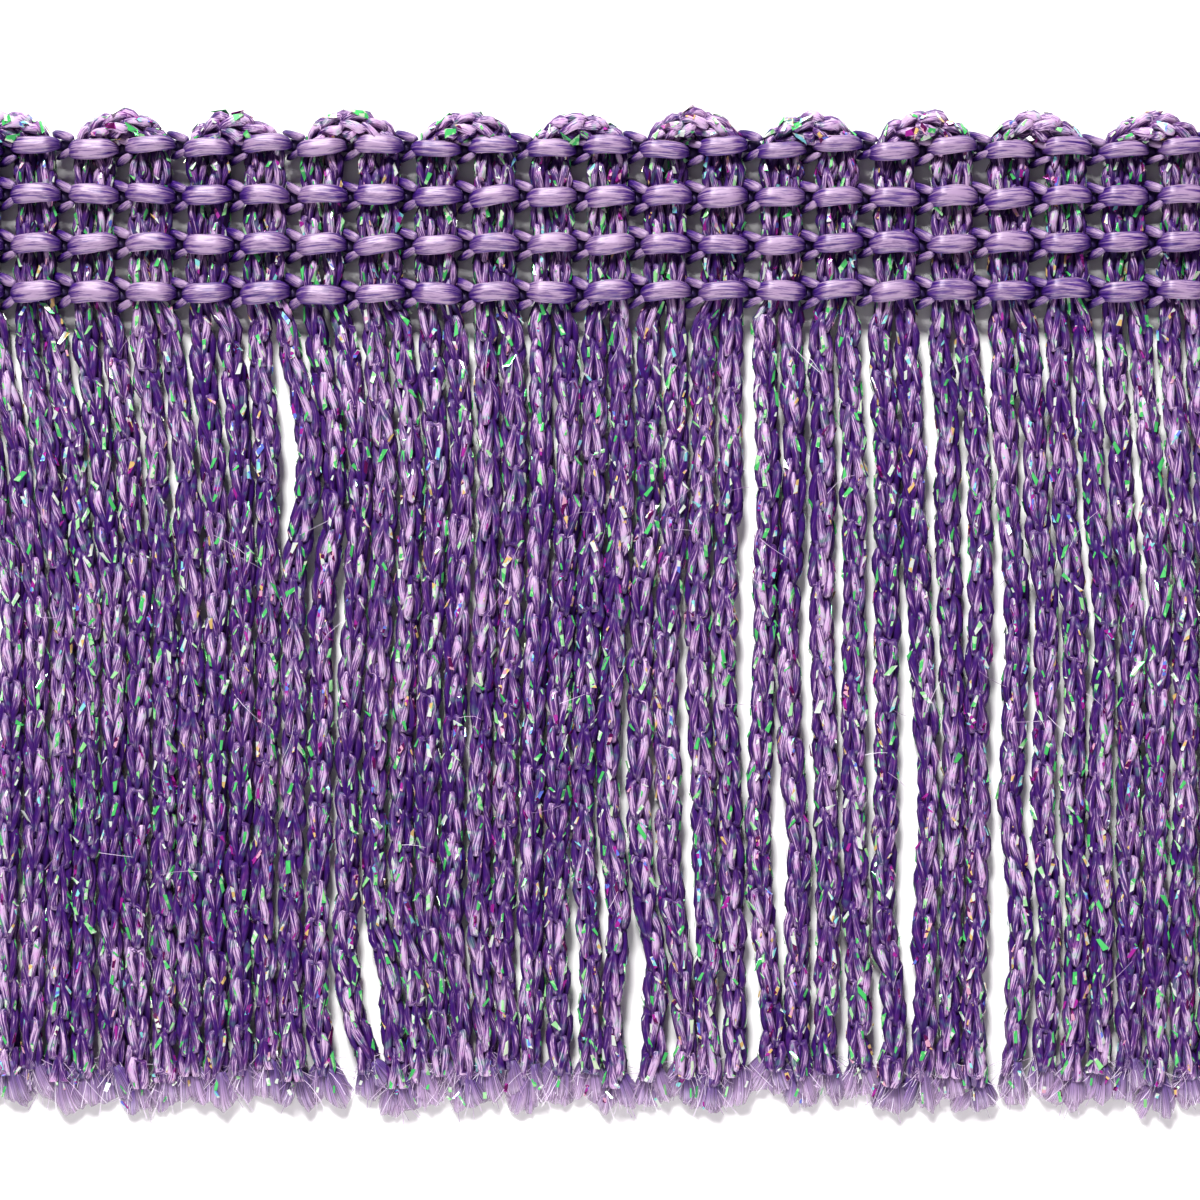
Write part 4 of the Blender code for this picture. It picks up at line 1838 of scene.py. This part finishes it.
# -------------------------------------------------------------------------------- stage
@dataclass
class Studio:
    """A pale floor, soft light mostly from the scalloped side, and the camera above."""

    view_middle: tuple[float, float] = (-1.88, 0.66)
    view_width: float = 60.84
    focus_z: float = 1.0
    lens: float = 100.0
    sensor: float = 36.0
    nearest: float = 1.0
    floor_size: float = 1.2
    floor_colour: str = "#fbfaf8"
    floor_roughness: float = 0.9
    air_colour: str = "#e2c4ee"
    air_strength: float = 0.15
    lights: tuple[tuple[str, Point, tuple[float, float], float], ...] = (
        # name, place and size in metres, watts
        ("window", (-0.08, 0.39, 0.30), (0.12, 0.11), 5.4),
        ("fill", (-0.12, -0.10, 0.45), (0.30, 0.30), 0.15),
        ("reflector", (0.0, -0.35, 0.10), (0.30, 0.08), 2.0),
    )

    def floor(self) -> None:
        """Lays a plain pale floor of matt card, which gives the eye soft shadows only."""
        floor = named(added(bpy.ops.mesh.primitive_plane_add, size=self.floor_size), "floor")
        material, _, shader = blank_material("pale matt card")
        wire(shader, {"Base Color": linear(self.floor_colour),
                      "Roughness": self.floor_roughness})
        floor.data.materials.append(material)

    def light(self, name: str, place: Point, size: tuple[float, float], watts: float) -> None:
        """Adds a soft light that faces the trim.

        Args:
            name: Its name.
            place: Where it stands, in metres.
            size: Its width and height, in metres.
            watts: Its power.
        """
        light = named(added(bpy.ops.object.light_add, type="AREA", location=place), name)
        light.data.shape = "RECTANGLE"
        light.data.size, light.data.size_y = size
        light.data.energy = watts
        light.rotation_euler = (-Vector(place)).to_track_quat("-Z", "Y").to_euler()

    def camera(self) -> None:
        """Puts the camera straight above, as in the photograph."""
        height = self.view_width * self.lens / self.sensor + self.focus_z
        camera = added(bpy.ops.object.camera_add, rotation=(0, 0, 0),
                       location=in_metres(*self.view_middle, height))
        camera.data.lens = self.lens
        camera.data.sensor_width = self.sensor
        camera.data.clip_start = self.nearest * MM
        bpy.context.scene.camera = camera

    def build(self) -> None:
        """Sets up the floor, lights, air and camera."""
        self.floor()
        for light in self.lights:
            self.light(*light)
        world = bpy.data.worlds.new("studio")
        world.use_nodes = True
        wire(world.node_tree.nodes["Background"],
             {"Color": linear(self.air_colour), "Strength": self.air_strength})
        bpy.context.scene.world = world
        bpy.context.scene.view_settings.view_transform = "Standard"
        self.camera()


def main() -> None:
    """Builds the trim in order and reports each piece."""
    logging.basicConfig(level=logging.INFO, format="%(name)s: %(message)s")
    layout = TrimLayout()
    Studio().build()
    course = ChainetteCourse()
    course.build()
    cords = KnittedCords(layout, course)
    cords.build()
    SatinRows(layout).build()
    FrayedEnds(layout, cords).build()
    remove([course.pattern])
    bpy.context.view_layer.update()
    LOG.info("sizes written")


if __name__ == "__main__":
    main()
